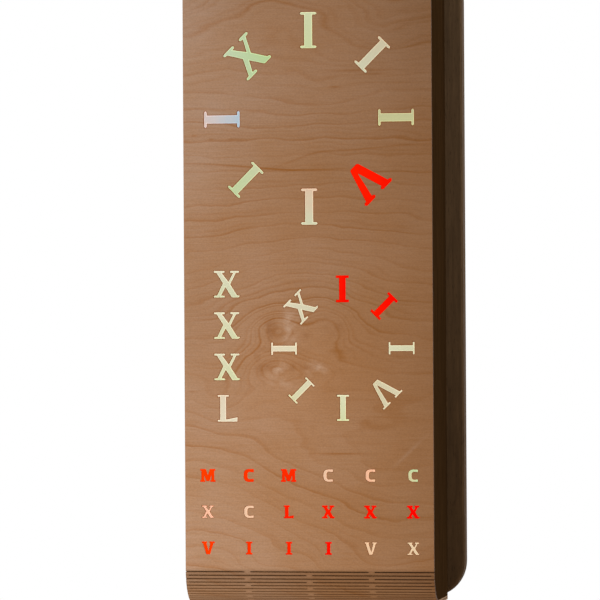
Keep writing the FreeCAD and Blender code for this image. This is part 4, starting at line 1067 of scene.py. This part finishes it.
# Light from all round, a little warm, and the white that is seen behind the clock.
WORLD_LIGHT = 0.38
WORLD_COLOUR = (1.0, 0.985, 0.965)
WHITE = (1.0, 1.0, 1.0)
# Lamps aimed at the clock's middle: name, place and size in metres, power in watts.
LAMPS = (
    ("key", (-0.95, -1.25, -0.50), 0.8, 17.0),
    ("fill", (1.6, -1.2, 0.5), 1.4, 4.0),
)


def soft_world():
    """White behind the object, and a soft even light of its own on it."""
    world = bpy.data.worlds.new("studio")
    bpy.context.scene.world = world
    world.use_nodes = True
    tree = world.node_tree
    tree.nodes.clear()

    def either(first, second):
        node = tree.nodes.new("ShaderNodeMath")
        node.operation = "MAXIMUM"
        tree.links.new(first, node.inputs[0])
        tree.links.new(second, node.inputs[1])
        return node.outputs[0]

    def background(colour, strength):
        node = tree.nodes.new("ShaderNodeBackground")
        node.inputs["Color"].default_value = colour + (1.0,)
        node.inputs["Strength"].default_value = strength
        return node.outputs[0]

    rays = tree.nodes.new("ShaderNodeLightPath").outputs
    seen = either(rays["Is Camera Ray"],
                  either(rays["Is Glossy Ray"], rays["Is Transmission Ray"]))
    choice = tree.nodes.new("ShaderNodeMixShader")
    tree.links.new(seen, choice.inputs[0])
    tree.links.new(background(WORLD_COLOUR, WORLD_LIGHT), choice.inputs[1])
    tree.links.new(background(WHITE, 1.0), choice.inputs[2])
    output = tree.nodes.new("ShaderNodeOutputWorld")
    tree.links.new(choice.outputs[0], output.inputs[0])


def area_light(name, place, size, power):
    """A square lamp that shines on the clock."""
    lamp = bpy.data.lights.new(name, "AREA")
    lamp.shape = "SQUARE"
    lamp.size = size
    lamp.energy = power
    holder = placed(name, lamp)
    holder.location = place
    holder.rotation_euler = (-holder.location).to_track_quat("-Z", "Y").to_euler()


soft_world()
for row in LAMPS:
    area_light(*row)

# Camera: well to the right of the clock and level with its middle. Lengths in metres.
CAMERA_PLACE = (0.582, -3.571, -0.01466)
CAMERA_TURN = 9.609  # to the left, in degrees
CAMERA_ROLL = -0.0057  # about its own line of sight, in radians
CAMERA_LENS = 263.55  # in millimetres, as is the sensor
CAMERA_SENSOR = 36.0
CAMERA_NEAR = 0.05
CAMERA_FAR = 100.0
camera_data = bpy.data.cameras.new("camera")
camera_data.sensor_width = CAMERA_SENSOR
camera_data.lens = CAMERA_LENS
camera_data.clip_start = CAMERA_NEAR
camera_data.clip_end = CAMERA_FAR
camera = placed("camera", camera_data)
bpy.context.scene.camera = camera
turn_left = Matrix.Rotation(math.radians(CAMERA_TURN), 4, "Z")
upright_view = Matrix.Rotation(math.radians(90.0), 4, "X")
roll = Matrix.Rotation(CAMERA_ROLL, 4, "Z")
camera.matrix_world = Matrix.Translation(CAMERA_PLACE) @ turn_left @ upright_view @ roll

bpy.context.scene.view_settings.view_transform = "Standard"
